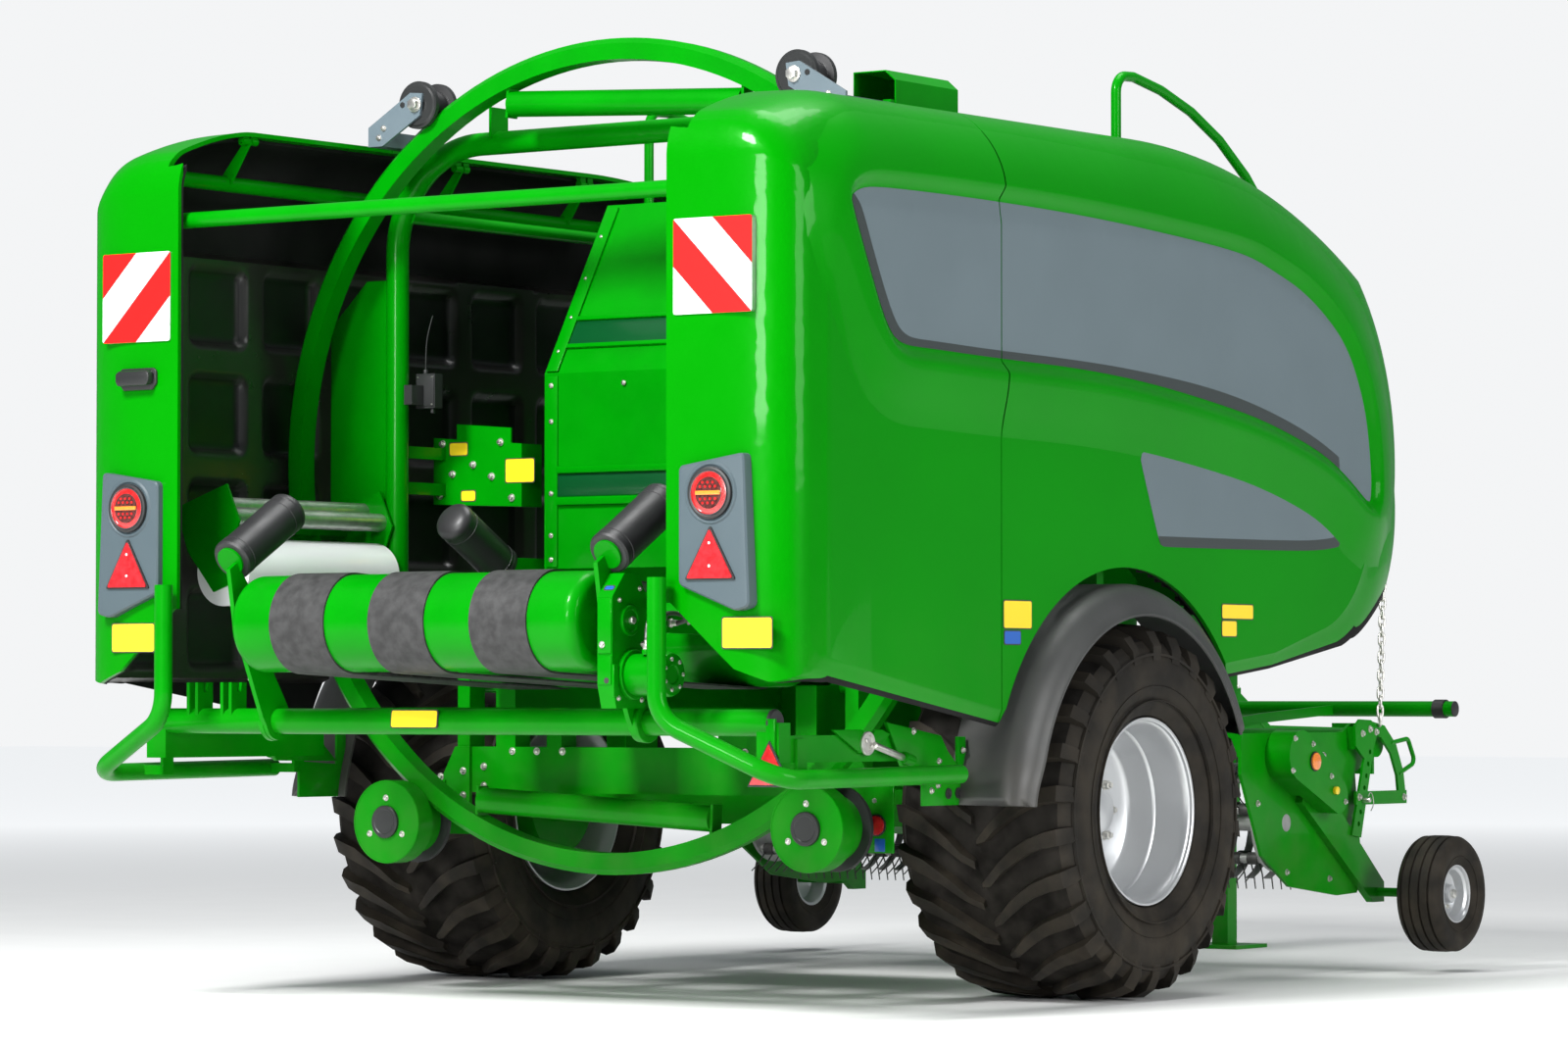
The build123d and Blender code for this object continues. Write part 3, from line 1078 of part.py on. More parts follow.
# ---------------------------------------------------------------- pick-up
BAND_R = 205.0
ARM_T = 28.0
WIND_ARM_Y = 700.0
with BuildPart() as pickup_frame:
    for y0, y1 in both(PICKUP_Y, PICKUP_Y + STEEL_PLATE):
        add(side_plate([(1190, 840), (1190, 700), (1330, 420), (1520, 310), (1860, 270), (2000, 275),
                        (2045, 330), (2030, 420), (1990, 700), (1960, 870), (1900, 840)], y0, y1))
    add(slab(1190, 1250, -PICKUP_Y, PICKUP_Y, 760, 840))
    for y0, y1 in both(INTAKE_HALF + 45, INTAKE_HALF + 60):
        add(side_plate([(LIFT_X - 50, LIFT_Z - 40), (LIFT_X + 20, LIFT_Z - 55), (1230, 760), (1230, 840),
                        (1190, 840), (LIFT_X - 40, LIFT_Z + 45)], y0, y1))
    for y0, y1 in both(INTAKE_HALF, INTAKE_HALF + 80):
        add(rod(LIFT_X, LIFT_Z, y0, y1, 26 + RUN), mode=Mode.SUBTRACT)
    for y0, y1 in both(PICKUP_Y - 30, PICKUP_Y + 30):
        add(rod(REEL_X, REEL_Z, y0, y1, 30 + RUN), mode=Mode.SUBTRACT)
    # arms of the gauge wheels with their stub axles
    for s in (1, -1):
        y0, y1 = sorted((s * (PICKUP_Y + STEEL_PLATE), s * (PICKUP_Y + STEEL_PLATE + ARM_T)))
        add(side_plate([(1590, 660), (1680, 690), (GAUGE_X + 45, 310), (GAUGE_X + 45, 240), (GAUGE_X - 35, 240),
                        (1560, 600)], y0, y1))
        y0, y1 = sorted((s * (PICKUP_Y + STEEL_PLATE + ARM_T / 2), s * (GAUGE_Y + 40)))
        add(rod(GAUGE_X, GAUGE_Z, y0, y1, 16))
    # wind guard on its arms, and the crop roller
    for y0, y1 in both(WIND_ARM_Y, WIND_ARM_Y + STEEL_PLATE):
        add(side_plate([(1190, 840), (1190, 800), (1300, 800), (2000, 870), (2540, 900), (2550, 935),
                        (2000, 905), (1260, 840)], y0, y1))
    add(rod(2545, 920, -1195, 1195, 28))
    add(rod(2150, 800, -PICKUP_Y - STEEL_PLATE, PICKUP_Y + STEEL_PLATE, 50))
    for y0, y1 in both(PICKUP_Y, PICKUP_Y + STEEL_PLATE):
        add(side_plate([(1960, 870), (1990, 700), (2190, 770), (2190, 830), (2120, 850)], y0, y1))
save(pickup_frame.part, "pickup_frame")

# Height stops beside the pick-up: a hub plate, a perforated strip, an arc with its handle and a tie.
STOP_T = 10.0
ARC_OUTSIDE = [(2030, 880), (2140, 862), (2225, 795), (2278, 700), (2302, 585)]
ARC_INSIDE = [(2250, 585), (2232, 685), (2188, 762), (2115, 820), (2050, 838)]
with BuildPart() as height_stops:
    for s in (1, -1):
        y0, y1 = sorted((s * (PICKUP_Y + STEEL_PLATE + ARM_T), s * (PICKUP_Y + STEEL_PLATE + ARM_T + STOP_T)))
        add(side_plate([(1930, 790), (1925, 860), (1960, 885), (2040, 882), (2100, 850), (2060, 790), (2000, 740)],
                       y0, y1))
        add(side_plate(ARC_OUTSIDE + ARC_INSIDE, y0, y1))
        add(side_plate([(2010, 800), (2070, 820), (1965, 470), (1900, 480)], y0, y1))
        add(side_plate([(1930, 600), (1930, 632), (2302, 632), (2302, 585), (1930, 585)], y0, y1))
        for i in range(7):
            add(rod(2032 - 14 * i, 770 - 42 * i, y0, y1, 9), mode=Mode.SUBTRACT)
        add(bent_tube([(2190, (y0 + y1) / 2, 800), (2320, (y0 + y1) / 2, 815), (2375, (y0 + y1) / 2, 730),
                       (2250, (y0 + y1) / 2, 690)], 8, 22))
        # spacer block on the gauge wheel arm
        y0, y1 = sorted((s * (PICKUP_Y + STEEL_PLATE), s * (PICKUP_Y + STEEL_PLATE + ARM_T)))
        add(side_plate([(1935, 780), (1935, 860), (2010, 860), (2010, 780)], y0, y1))
save(height_stops.part, "height_stops")

# Case over the pick-up's drive chain.
CASE_Y = 1190.0
with BuildPart() as pickup_drive_case:
    with BuildSketch(side_plane(-PICKUP_Y - STEEL_PLATE)):
        with Locations((1440, 762)):
            Circle(88)
        with Locations((1700, 620)):
            Circle(60)
        make_hull()
    extrude(amount=CASE_Y - PICKUP_Y - STEEL_PLATE)
    add(slab(1540, 2100, -PICKUP_Y - STEEL_PLATE - ARM_T - 0.5, -PICKUP_Y, 300, 705), mode=Mode.SUBTRACT)
save(pickup_drive_case.part, "pickup_drive_case")

BAR_AT = 150.0
with BuildPart() as pickup_reel:
    add(rod(REEL_X, REEL_Z, -PICKUP_Y - STEEL_PLATE, PICKUP_Y + STEEL_PLATE, 30))
    for y0, y1 in both(REEL_HALF - 12, REEL_HALF):
        add(rod(REEL_X, REEL_Z, y0, y1, BAR_AT + 20))
    add(rod(REEL_X, REEL_Z, -6, 6, BAR_AT + 20))
    for i in range(BAR_COUNT):
        a = radians(18 + i * 360 / BAR_COUNT)
        add(rod(REEL_X + BAR_AT * cos(a), REEL_Z + BAR_AT * sin(a), -REEL_HALF, REEL_HALF, 16))
save(pickup_reel.part, "pickup_reel")


def gauge_rim_profile():
    """Half section of a small rim."""
    Polyline((-60, 95), (-60, 84), (-40, 78), (-10, 78), (-6, 40), (-30, 30), (-30, 16 + RUN), (30, 16 + RUN),
             (30, 30), (2, 40), (-2, 78), (60, 84), (60, 95), close=True)


gauge_tyre = revolve_wheel(lambda: tyre_profile(GAUGE_W, GAUGE_R, 95, 60))
gauge_rim = revolve_wheel(gauge_rim_profile)
for name, s in SIDES:
    save(wheel_place(gauge_tyre, GAUGE_X, s * GAUGE_Y, GAUGE_Z, s < 0), f"gauge_tyre_{name}")
    save(wheel_place(gauge_rim, GAUGE_X, s * GAUGE_Y, GAUGE_Z, s < 0), f"gauge_rim_{name}")
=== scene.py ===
"""Looks of the towed round baler and wrapper, built on its CAD frame.

Lengths are metres in the row frame: +X forward, +Y left, +Z up, origin on the ground.
"""
import json
import math

import bmesh
import bpy
from mathutils import Matrix, Vector
from mathutils.bvhtree import BVHTree


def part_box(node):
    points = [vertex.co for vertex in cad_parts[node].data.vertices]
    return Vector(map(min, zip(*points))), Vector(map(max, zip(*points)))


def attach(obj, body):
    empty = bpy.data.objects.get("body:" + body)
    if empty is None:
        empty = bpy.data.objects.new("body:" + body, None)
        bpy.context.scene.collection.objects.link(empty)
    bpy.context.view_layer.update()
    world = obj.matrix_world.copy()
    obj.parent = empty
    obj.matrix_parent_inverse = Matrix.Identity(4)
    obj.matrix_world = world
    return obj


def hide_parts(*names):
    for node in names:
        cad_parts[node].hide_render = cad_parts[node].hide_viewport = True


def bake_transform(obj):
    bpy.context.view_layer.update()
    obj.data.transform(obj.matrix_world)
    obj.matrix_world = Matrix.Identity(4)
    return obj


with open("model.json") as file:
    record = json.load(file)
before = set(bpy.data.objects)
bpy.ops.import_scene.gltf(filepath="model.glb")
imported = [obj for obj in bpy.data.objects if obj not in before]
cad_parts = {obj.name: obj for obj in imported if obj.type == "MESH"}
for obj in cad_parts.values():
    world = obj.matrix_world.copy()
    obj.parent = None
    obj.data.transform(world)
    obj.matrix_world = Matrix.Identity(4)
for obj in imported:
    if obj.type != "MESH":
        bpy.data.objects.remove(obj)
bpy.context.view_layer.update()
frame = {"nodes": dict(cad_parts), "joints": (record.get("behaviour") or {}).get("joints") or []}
NODES = frame["nodes"]
JOINTS = {joint["name"]: joint for joint in frame["joints"]}

# ---------------------------------------------------------------- places and directions
AXLE_X, WHEEL_Y, WHEEL_Z = JOINTS["wheel_turn_left"]["pos_m"]
SIDES = (("left", 1), ("right", -1))
AHEAD, BACK = Vector((1, 0, 0)), Vector((-1, 0, 0))
LEFT, RIGHT = Vector((0, 1, 0)), Vector((0, -1, 0))
UP, DOWN = Vector((0, 0, 1)), Vector((0, 0, -1))


def at(x, y, z):
    """A point given from the road axle, in the row frame."""
    return Vector((AXLE_X + x, y, z))


def outward(side):
    """The direction away from the machine's middle, on its left (1) or right (-1) side."""
    return Vector((0, side, 0))


def around(centre, radius, count, start=0.0, axis="y"):
    """Evenly spaced places on a circle round the Y or X axis, from a start angle in degrees."""
    spots = []
    for i in range(count):
        angle = math.radians(start + 360 * i / count)
        across, rise = radius * math.cos(angle), radius * math.sin(angle)
        spots.append(centre + Vector((across, 0, rise) if axis == "y" else (0, across, rise)))
    return spots


# ---------------------------------------------------------------- materials
DUST = (0.16, 0.125, 0.085)


def opaque(color):
    """A colour with its alpha."""
    return (*color, 1.0)


def set_inputs(tree, node, *inputs):
    """Sets a node's inputs: sockets are linked, numbers and colours are set."""
    for key, value in inputs:
        if isinstance(value, bpy.types.NodeSocket):
            tree.links.new(value, node.inputs[key])
        else:
            node.inputs[key].default_value = value


def add_node(tree, kind, *inputs, out=0, **settings):
    """Adds a shader node with its settings and inputs, and gives one of its outputs."""
    node = tree.nodes.new("ShaderNode" + kind)
    for key, value in settings.items():
        setattr(node, key, value)
    set_inputs(tree, node, *inputs)
    return node.outputs[out]


def object_place(tree):
    """The place on the piece that is being shaded."""
    return add_node(tree, "TexCoord", out="Object")


def spread(tree, value, low, high, to_low, to_high):
    """A value taken from one range to another."""
    return add_node(tree, "MapRange", ("Value", value), ("From Min", low), ("From Max", high), ("To Min", to_low),
                    ("To Max", to_high), out="Result")


def mix(tree, factor, first, other):
    """Two colours mixed by a factor."""
    return add_node(tree, "Mix", ("Factor", factor), ("A", first), ("B", other), out="Result", data_type="RGBA")


def material(name, color, roughness, metallic=0.0, coat=0.0, coat_roughness=0.1, specular=0.5, mottle=0.0,
             mottle_scale=3.0, bump=0.0, bump_scale=200.0, rough_spread=0.0, dust=0.0, dust_height=1.0,
             second=None, shine=(1.0, 1.0, 1.0)):
    """A painted, moulded or bare finish with its own mottle, grain and road dust."""
    mat = bpy.data.materials.new(name)
    mat.use_nodes = True
    tree = mat.node_tree
    shader = tree.nodes["Principled BSDF"]
    place = object_place(tree)

    def noise(scale, detail=4.0):
        return add_node(tree, "TexNoise", ("Scale", scale), ("Detail", detail), ("Vector", place), out="Fac")

    pale = second or tuple(min(1.0, channel * (1 + mottle) + 0.02 * mottle) for channel in color)
    tint = mix(tree, spread(tree, noise(mottle_scale), 0.35, 0.65, 0.0, 1.0), opaque(color), opaque(pale))
    if dust:
        height = add_node(tree, "SeparateXYZ", ("Vector", place), out="Z")
        low_down = spread(tree, height, 0.0, dust_height, dust, 0.0)
        patches = spread(tree, noise(9.0, 8.0), 0.4, 0.7, 0.2, 1.0)
        blotch = add_node(tree, "Math", (0, low_down), (1, patches), operation="MULTIPLY")
        tint = mix(tree, blotch, tint, opaque(DUST))
    set_inputs(tree, shader, ("Base Color", tint), ("Roughness", roughness), ("Metallic", metallic),
               ("Coat Weight", coat), ("Coat Roughness", coat_roughness), ("Specular IOR Level", specular),
               ("Specular Tint", opaque(shine)))
    if rough_spread:
        rough = spread(tree, noise(14.0, 6.0), 0.3, 0.7, roughness, roughness + rough_spread)
        set_inputs(tree, shader, ("Roughness", rough))
    if bump:
        grain = noise(bump_scale, 3.0)
        relief = add_node(tree, "Bump", ("Strength", bump), ("Distance", 0.001), ("Height", grain), out="Normal")
        set_inputs(tree, shader, ("Normal", relief))
    return mat


PAINT_SHINE = (0.25, 1.0, 0.25)
green_door = material("door_green_gloss", (0.0, 0.205, 0.0), 0.3, coat=0.13, coat_roughness=0.05, specular=0.12,
                      mottle=0.04, shine=PAINT_SHINE, second=(0.0, 0.19, 0.0), mottle_scale=1.6, bump=0.03,
                      bump_scale=260.0, rough_spread=0.05, dust=0.12, dust_height=1.3)
green_steel = material("frame_green_paint", (0.0, 0.215, 0.001), 0.32, coat=0.13, specular=0.15, mottle=0.06,
                       shine=PAINT_SHINE, second=(0.0, 0.19, 0.001), mottle_scale=5.0, bump=0.08,
                       bump_scale=180.0, rough_spread=0.1, dust=0.2)
dark_green = material("shaded_green_band", (0.0, 0.055, 0.012), 0.3, coat=0.4, mottle=0.1)
grey_steel = material("arm_grey_paint", (0.1, 0.135, 0.155), 0.35, coat=0.3, mottle=0.12, bump=0.06,
                      rough_spread=0.1)
grey_band = material("door_band_grey", (0.115, 0.15, 0.165), 0.36, coat=0.3, coat_roughness=0.06, specular=0.25,
                     mottle=0.05, bump=0.02, bump_scale=260.0)
dark_band = material("door_band_dark", (0.028, 0.036, 0.035), 0.32, coat=0.6, coat_roughness=0.06, mottle=0.05)
lamp_grey = material("lamp_housing_grey", (0.055, 0.08, 0.092), 0.42, mottle=0.06, bump=0.1, bump_scale=420.0,
                     rough_spread=0.08)
tyre_rubber = material("tyre_rubber", (0.008, 0.0068, 0.0052), 0.62, specular=0.22, mottle_scale=9.0, bump=0.25,
                       bump_scale=120.0, rough_spread=0.15, dust=0.14, dust_height=1.3,
                       second=(0.017, 0.014, 0.01))
# groove floors between the lugs: a darker rubber than the lugs, painted shade in the grooves
tyre_groove_painted_shade = material("tyre_groove_painted_shade", (0.004, 0.0034, 0.0028), 0.85, specular=0.12, mottle=0.5, mottle_scale=9.0,
                       bump=0.25, bump_scale=120.0, dust=0.1, dust_height=1.3)
rim_silver = material("rim_silver", (0.6, 0.61, 0.62), 0.32, metallic=0.75, mottle=0.06, bump=0.06,
                      rough_spread=0.12)
guard_black = material("mudguard_black", (0.034, 0.035, 0.034), 0.4, mottle=0.3, bump=0.25, bump_scale=500.0,
                       rough_spread=0.12, dust=0.25, dust_height=1.2)
liner_black = material("liner_black", (0.016, 0.0145, 0.0135), 0.27, specular=0.7, mottle=0.3, bump=0.12,
                       bump_scale=420.0, rough_spread=0.08)
# darker black of the lining's back: painted shade along the door's lower edge
lining_back = material("lining_back_black", (0.006, 0.006, 0.006), 0.7, specular=0.12, mottle=0.3, bump=0.1)
# darker copy of the liner's black for the pocket floors: painted shade in the pockets
pocket_painted_shade = material("pocket_painted_shade", (0.004, 0.0038, 0.0036), 0.34, mottle=0.3, bump=0.12, bump_scale=420.0,
                        rough_spread=0.1)
belt_rubber = material("belt_rubber", (0.02, 0.02, 0.02), 0.55, specular=0.4, mottle=0.5, mottle_scale=30.0,
                       bump=0.3, bump_scale=380.0, rough_spread=0.12)
roller_rubber = material("roller_rubber", (0.013, 0.013, 0.014), 0.36, mottle=0.3, bump=0.08, bump_scale=300.0,
                         rough_spread=0.1)
cap_black = material("cap_black", (0.016, 0.017, 0.017), 0.34, specular=0.4, mottle=0.3, bump=0.1, bump_scale=300.0)
seal_black = material("seal_black", (0.012, 0.012, 0.012), 0.5, mottle=0.2, bump=0.1)
film_white = material("film_white", (0.8, 0.82, 0.82), 0.22, coat=0.3, mottle=0.03, bump=0.05, bump_scale=60.0)
bare_steel = material("bare_steel", (0.5, 0.5, 0.49), 0.33, metallic=0.95, mottle=0.15, mottle_scale=40.0,
                      bump=0.1, rough_spread=0.15)
zinc = material("zinc_plate", (0.62, 0.61, 0.57), 0.28, metallic=0.95, mottle=0.2, mottle_scale=60.0, bump=0.1,
                rough_spread=0.12)
chrome_ring = material("lamp_chrome", (0.75, 0.75, 0.76), 0.12, metallic=1.0, mottle=0.05)
spring_steel = material("spring_steel", (0.055, 0.055, 0.052), 0.45, metallic=0.6, mottle=0.4, mottle_scale=60.0,
                        bump=0.1, rough_spread=0.15)
band_zinc = material("band_zinc_grey", (0.26, 0.27, 0.27), 0.42, metallic=0.7, mottle=0.25, mottle_scale=30.0,
                     bump=0.08, rough_spread=0.15, dust=0.3)
lens_red = material("lens_red", (0.45, 0.006, 0.006), 0.12, coat=0.9, coat_roughness=0.03, mottle=0.4,
                    mottle_scale=80.0, bump=0.35, bump_scale=900.0)
lens_dark = material("lens_smoked", (0.055, 0.01, 0.008), 0.1, coat=0.9, coat_roughness=0.03, mottle=0.6,
                     mottle_scale=120.0)
lens_amber = material("lens_amber", (0.75, 0.2, 0.02), 0.15, coat=0.8, coat_roughness=0.03, mottle=0.3,
                      mottle_scale=200.0)
reflector_red = material("reflector_red", (0.36, 0.004, 0.008), 0.18, coat=0.9, coat_roughness=0.05, mottle=0.5,
                         mottle_scale=45.0, bump=0.4, bump_scale=700.0)
plate_yellow = material("plate_yellow", (0.86, 0.62, 0.015), 0.34, coat=0.4, mottle=0.03)
plate_blue = material("plate_blue", (0.012, 0.1, 0.42), 0.34, coat=0.4, mottle=0.03)
plate_edge = material("plate_edge", (0.03, 0.03, 0.028), 0.4, coat=0.2, mottle=0.1)

FINISH = {
    green_door: ("side_door_rear_left", "side_door_rear_right", "side_door_front_left", "side_door_front_right"),
    green_steel: ("axle_beam", "main_frame", "rear_frame", "guard_rails", "ring_arch", "door_rails", "chamber_front",
                  "chamber_door", "wrapping_ring", "ring_rollers", "film_dispensers", "table_frame", "rear_drum",
                  "front_drum", "crop_intake", "front_cabinet", "hand_rails", "drawbar", "jack_sleeve",
                  "pickup_frame", "lower_ring_roller_left", "lower_ring_roller_right", "jack_leg", "table_drive",
                  "height_stops", "pickup_drive_case", "drive_cover", "roof_cover"),
    grey_steel: ("roller_arms", "gearbox"),
    lamp_grey: ("rear_lamps_left", "rear_lamps_right"),
    tyre_rubber: ("tyre_left", "tyre_right", "gauge_tyre_left", "gauge_tyre_right"),
    rim_silver: ("rim_left", "rim_right", "gauge_rim_left", "gauge_rim_right"),
    guard_black: ("mudguards",),
    lining_back: ("door_liner_left", "door_liner_right"),
    cap_black: ("control_box",),
    belt_rubber: ("table_belts",),
    roller_rubber: ("side_rollers", "upper_ring_roller_left", "upper_ring_roller_right"),
    film_white: ("film_rolls",),
    bare_steel: ("chamber_rollers_front", "chamber_rollers_rear", "stretch_rollers", "pto_shaft", "hitch_eye",
                 "pickup_reel"),
}
for finish, names in FINISH.items():
    for name in names:
        obj = NODES[name]
        obj.data.materials.clear()
        obj.data.materials.append(finish)

# ---------------------------------------------------------------- modelling helpers
WELD = 0.00002
SHARP_ANGLE = 0.6


def verts_of(geom):
    """The vertices among what a mesh operation gives back."""
    return [item for item in geom if isinstance(item, bmesh.types.BMVert)]


def close_loop(bm, verts):
    """The edges that join vertices into a closed loop."""
    return [bm.edges.new(pair) for pair in zip(verts, verts[1:] + verts[:1])]


def bevel_edges(bm, edges, width, segments, profile=0.5):
    """Rounds edges off."""
    bmesh.ops.bevel(bm, geom=edges, offset=width, segments=segments, profile=profile, affect="EDGES", material=-1)


def round_corners(bm, verts, along, width, segments=3):
    """Rounds the corners of a plate, which are its edges along a direction."""
    edges = {edge for vert in verts for edge in vert.link_edges}
    bevel_edges(bm, [edge for edge in edges
                     if abs((edge.verts[0].co - edge.verts[1].co).normalized().dot(along)) > 0.9], width, segments)


def cut_mesh(bm, spot, normal, geom=None):
    """Cuts a mesh's faces along a plane."""
    bmesh.ops.bisect_plane(bm, geom=geom or [*bm.verts, *bm.edges, *bm.faces], dist=0.0001, plane_co=spot,
                           plane_no=normal)


def finish_solid(bm, verts, bevel, mat):
    """Gives a fresh solid its material and breaks its sharp edges."""
    for face in {face for vert in verts for face in vert.link_faces}:
        face.material_index = mat
    if bevel:
        edges = {edge for vert in verts for edge in vert.link_edges}
        bevel_edges(bm, [edge for edge in edges
                         if len(edge.link_faces) == 2 and edge.calc_face_angle(0.0) > SHARP_ANGLE], bevel, 2)
    return verts


def add_box(bm, low, high, bevel=0.0, mat=0):
    """A bar between two corners, with its edges broken by a bevel."""
    low, high = Vector(low), Vector(high)
    size = Matrix.Diagonal((*(high - low), 1.0))
    made = bmesh.ops.create_cube(bm, size=1.0, matrix=Matrix.Translation((low + high) / 2) @ size)
    return finish_solid(bm, made["verts"], bevel, mat)


def add_rod(bm, start, end, radius, steps=24, bevel=0.0, mat=0, end_radius=None):
    """A round bar or cone between two points."""
    start, end = Vector(start), Vector(end)
    turn = (end - start).to_track_quat("Z", "Y").to_matrix().to_4x4()
    made = bmesh.ops.create_cone(bm, cap_ends=True, segments=steps, radius1=radius,
                                 radius2=radius if end_radius is None else end_radius,
                                 depth=(end - start).length,
                                 matrix=Matrix.Translation((start + end) / 2) @ turn)
    finish_solid(bm, made["verts"], bevel, mat)


def add_stud(bm, point, direction, begin, end, radius, **shape):
    """A round bar along a direction, between two distances from a point."""
    point, direction = Vector(point), Vector(direction)
    add_rod(bm, point + direction * begin, point + direction * end, radius, **shape)


def add_turned(bm, profile, centre, axis, steps=48, mat=0):
    """A closed outline of (along, radius) turned about an axis through a centre."""
    axis = Vector(axis).normalized()
    out = axis.orthogonal().normalized()
    ring = [bm.verts.new(Vector(centre) + axis * along + out * radius) for along, radius in profile]
    edges = close_loop(bm, ring)
    bmesh.ops.spin(bm, geom=ring + edges, cent=Vector(centre), axis=axis, angle=2 * math.pi, steps=steps,
                   use_merge=True)
    seen = {face for vert in ring for face in vert.link_faces}
    todo = list(seen)
    while todo:
        for face in {face for edge in todo.pop().edges for face in edge.link_faces} - seen:
            seen.add(face)
            todo.append(face)
    for face in seen:
        face.material_index = mat


def add_swept(bm, points, centre, degrees, steps):
    """A closed section turned about a crosswise axis through part of a circle, with both ends closed."""
    ring = [bm.verts.new(point) for point in points]
    edges = close_loop(bm, ring)
    made = bmesh.ops.spin(bm, geom=ring + edges, cent=centre, axis=RIGHT, angle=math.radians(degrees),
                          steps=steps, use_merge=False)
    bmesh.ops.contextual_create(bm, geom=ring)
    bmesh.ops.contextual_create(bm, geom=verts_of(made["geom_last"]))


def add_plate(bm, outline, thickness, bevel=0.0, mat=0):
    """A flat outline of points drawn out by a thickness vector."""
    face = bm.faces.new([bm.verts.new(Vector(point)) for point in outline])
    moved = verts_of(bmesh.ops.extrude_face_region(bm, geom=[face])["geom"])
    bmesh.ops.translate(bm, verts=moved, vec=Vector(thickness))
    return finish_solid(bm, list(face.verts) + moved, bevel, mat)


def add_side_plate(bm, outline, side, thickness, bevel):
    """A plate that is mirrored on the other side of the machine, with its outline turned to suit."""
    add_plate(bm, outline if side < 0 else outline[::-1], outward(side) * thickness, bevel=bevel)


def add_bolts(bm, points, normal, size, mat=1):
    """Hexagon heads on washers, seated on points and facing a normal."""
    for point in points:
        add_stud(bm, point, normal, 0, size * 0.18, size * 1.05, steps=16, mat=mat)
        add_stud(bm, point, normal, 0, size * 0.85, size * 0.72, steps=6, bevel=size * 0.06, mat=mat)


def curve_mesh(points, radius, resolution, cyclic):
    """The mesh of one smooth curve along guide points, round if it has a radius."""
    curve = bpy.data.curves.new("path", "CURVE")
    curve.dimensions = "3D"
    curve.bevel_depth = radius
    curve.bevel_resolution = 3
    curve.resolution_u = resolution
    curve.use_fill_caps = True
    spline = curve.splines.new("NURBS")
    spline.points.add(len(points) - 1)
    for spot, point in zip(spline.points, points):
        spot.co = (*point, 1.0)
    spline.order_u = 3
    spline.use_endpoint_u = not cyclic
    spline.use_cyclic_u = cyclic
    holder = bpy.data.objects.new("path", curve)
    mesh = bpy.data.meshes.new_from_object(holder)
    bpy.data.objects.remove(holder)
    bpy.data.curves.remove(curve)
    return mesh


def take_mesh(bm, mesh):
    """Adds a mesh to a bmesh and throws it away."""
    bm.from_mesh(mesh)
    bpy.data.meshes.remove(mesh)


def add_pipe(bm, points, radius, mat=0, resolution=8, cyclic=False):
    """A round pipe or hose that follows points on one smooth curve."""
    mesh = curve_mesh(points, radius, resolution, cyclic)
    for face in mesh.polygons:
        face.material_index = mat
    take_mesh(bm, mesh)


def piece(name, bm, body, slot, *finishes, replaces=(), sharp=0.55):
    """Makes a finished piece of a bmesh and rides it on a body, if it names one."""
    bmesh.ops.remove_doubles(bm, verts=bm.verts, dist=WELD)
    bmesh.ops.recalc_face_normals(bm, faces=bm.faces)
    for edge in bm.edges:
        edge.smooth = not (len(edge.link_faces) == 2 and edge.calc_face_angle(0.0) > sharp)
    for face in bm.faces:
        face.smooth = True
    mesh = bpy.data.meshes.new(name)
    bm.to_mesh(mesh)
    bm.free()
    made = bpy.data.objects.new(name, mesh)
    for finish in finishes:
        made.data.materials.append(finish)
    bpy.context.scene.collection.objects.link(made)
    if body:
        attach(made, body)
    if replaces:
        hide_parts(*replaces)
    return made


# ---------------------------------------------------------------- road tyres
# Stations of one tread lug: across the tyre, base radius, lean of its wall outwards,
# height, half width, lead round the wheel.
LUG = (
    (0.008, 0.566, 0.0, 0.024, 0.014, 0.165),
    (0.045, 0.566, 0.0, 0.032, 0.022, 0.14),
    (0.09, 0.566, 0.0, 0.033, 0.026, 0.1),
    (0.14, 0.565, 0.02, 0.033, 0.028, 0.062),
    (0.19, 0.562, 0.06, 0.033, 0.029, 0.032),
    (0.24, 0.555, 0.22, 0.034, 0.03, 0.012),
    (0.276, 0.542, 0.5, 0.032, 0.032, 0.003),
    (0.301, 0.516, 0.85, 0.018, 0.032, 0),
    (0.313, 0.484, 1.0, 0.006, 0.029, 0),
)
LUG_COUNT = 26
LUG_ROOT, LUG_TAPER, LUG_BEVEL = 0.01, 0.005, 0.004
TREAD_RADIUS = 0.6
GROOVE_FROM = 0.545
CARCASS = ((-0.256, 0.284), (0.256, 0.284), (0.262, 0.3), (0.28, 0.306), (0.298, 0.33), (0.313, 0.37),
           (0.3205, 0.415), (0.3215, 0.45), (0.317, 0.485), (0.305, 0.515), (0.282, 0.541), (0.245, 0.556),
           (0.19, 0.563), (0.1, 0.567), (0, 0.568))
# Rings on the sidewall: how far out, outer and inner radius.
WALL_RINGS = ((0.317, 0.505, 0.493), (0.3175, 0.356, 0.349), (0.318, 0.402, 0.398))


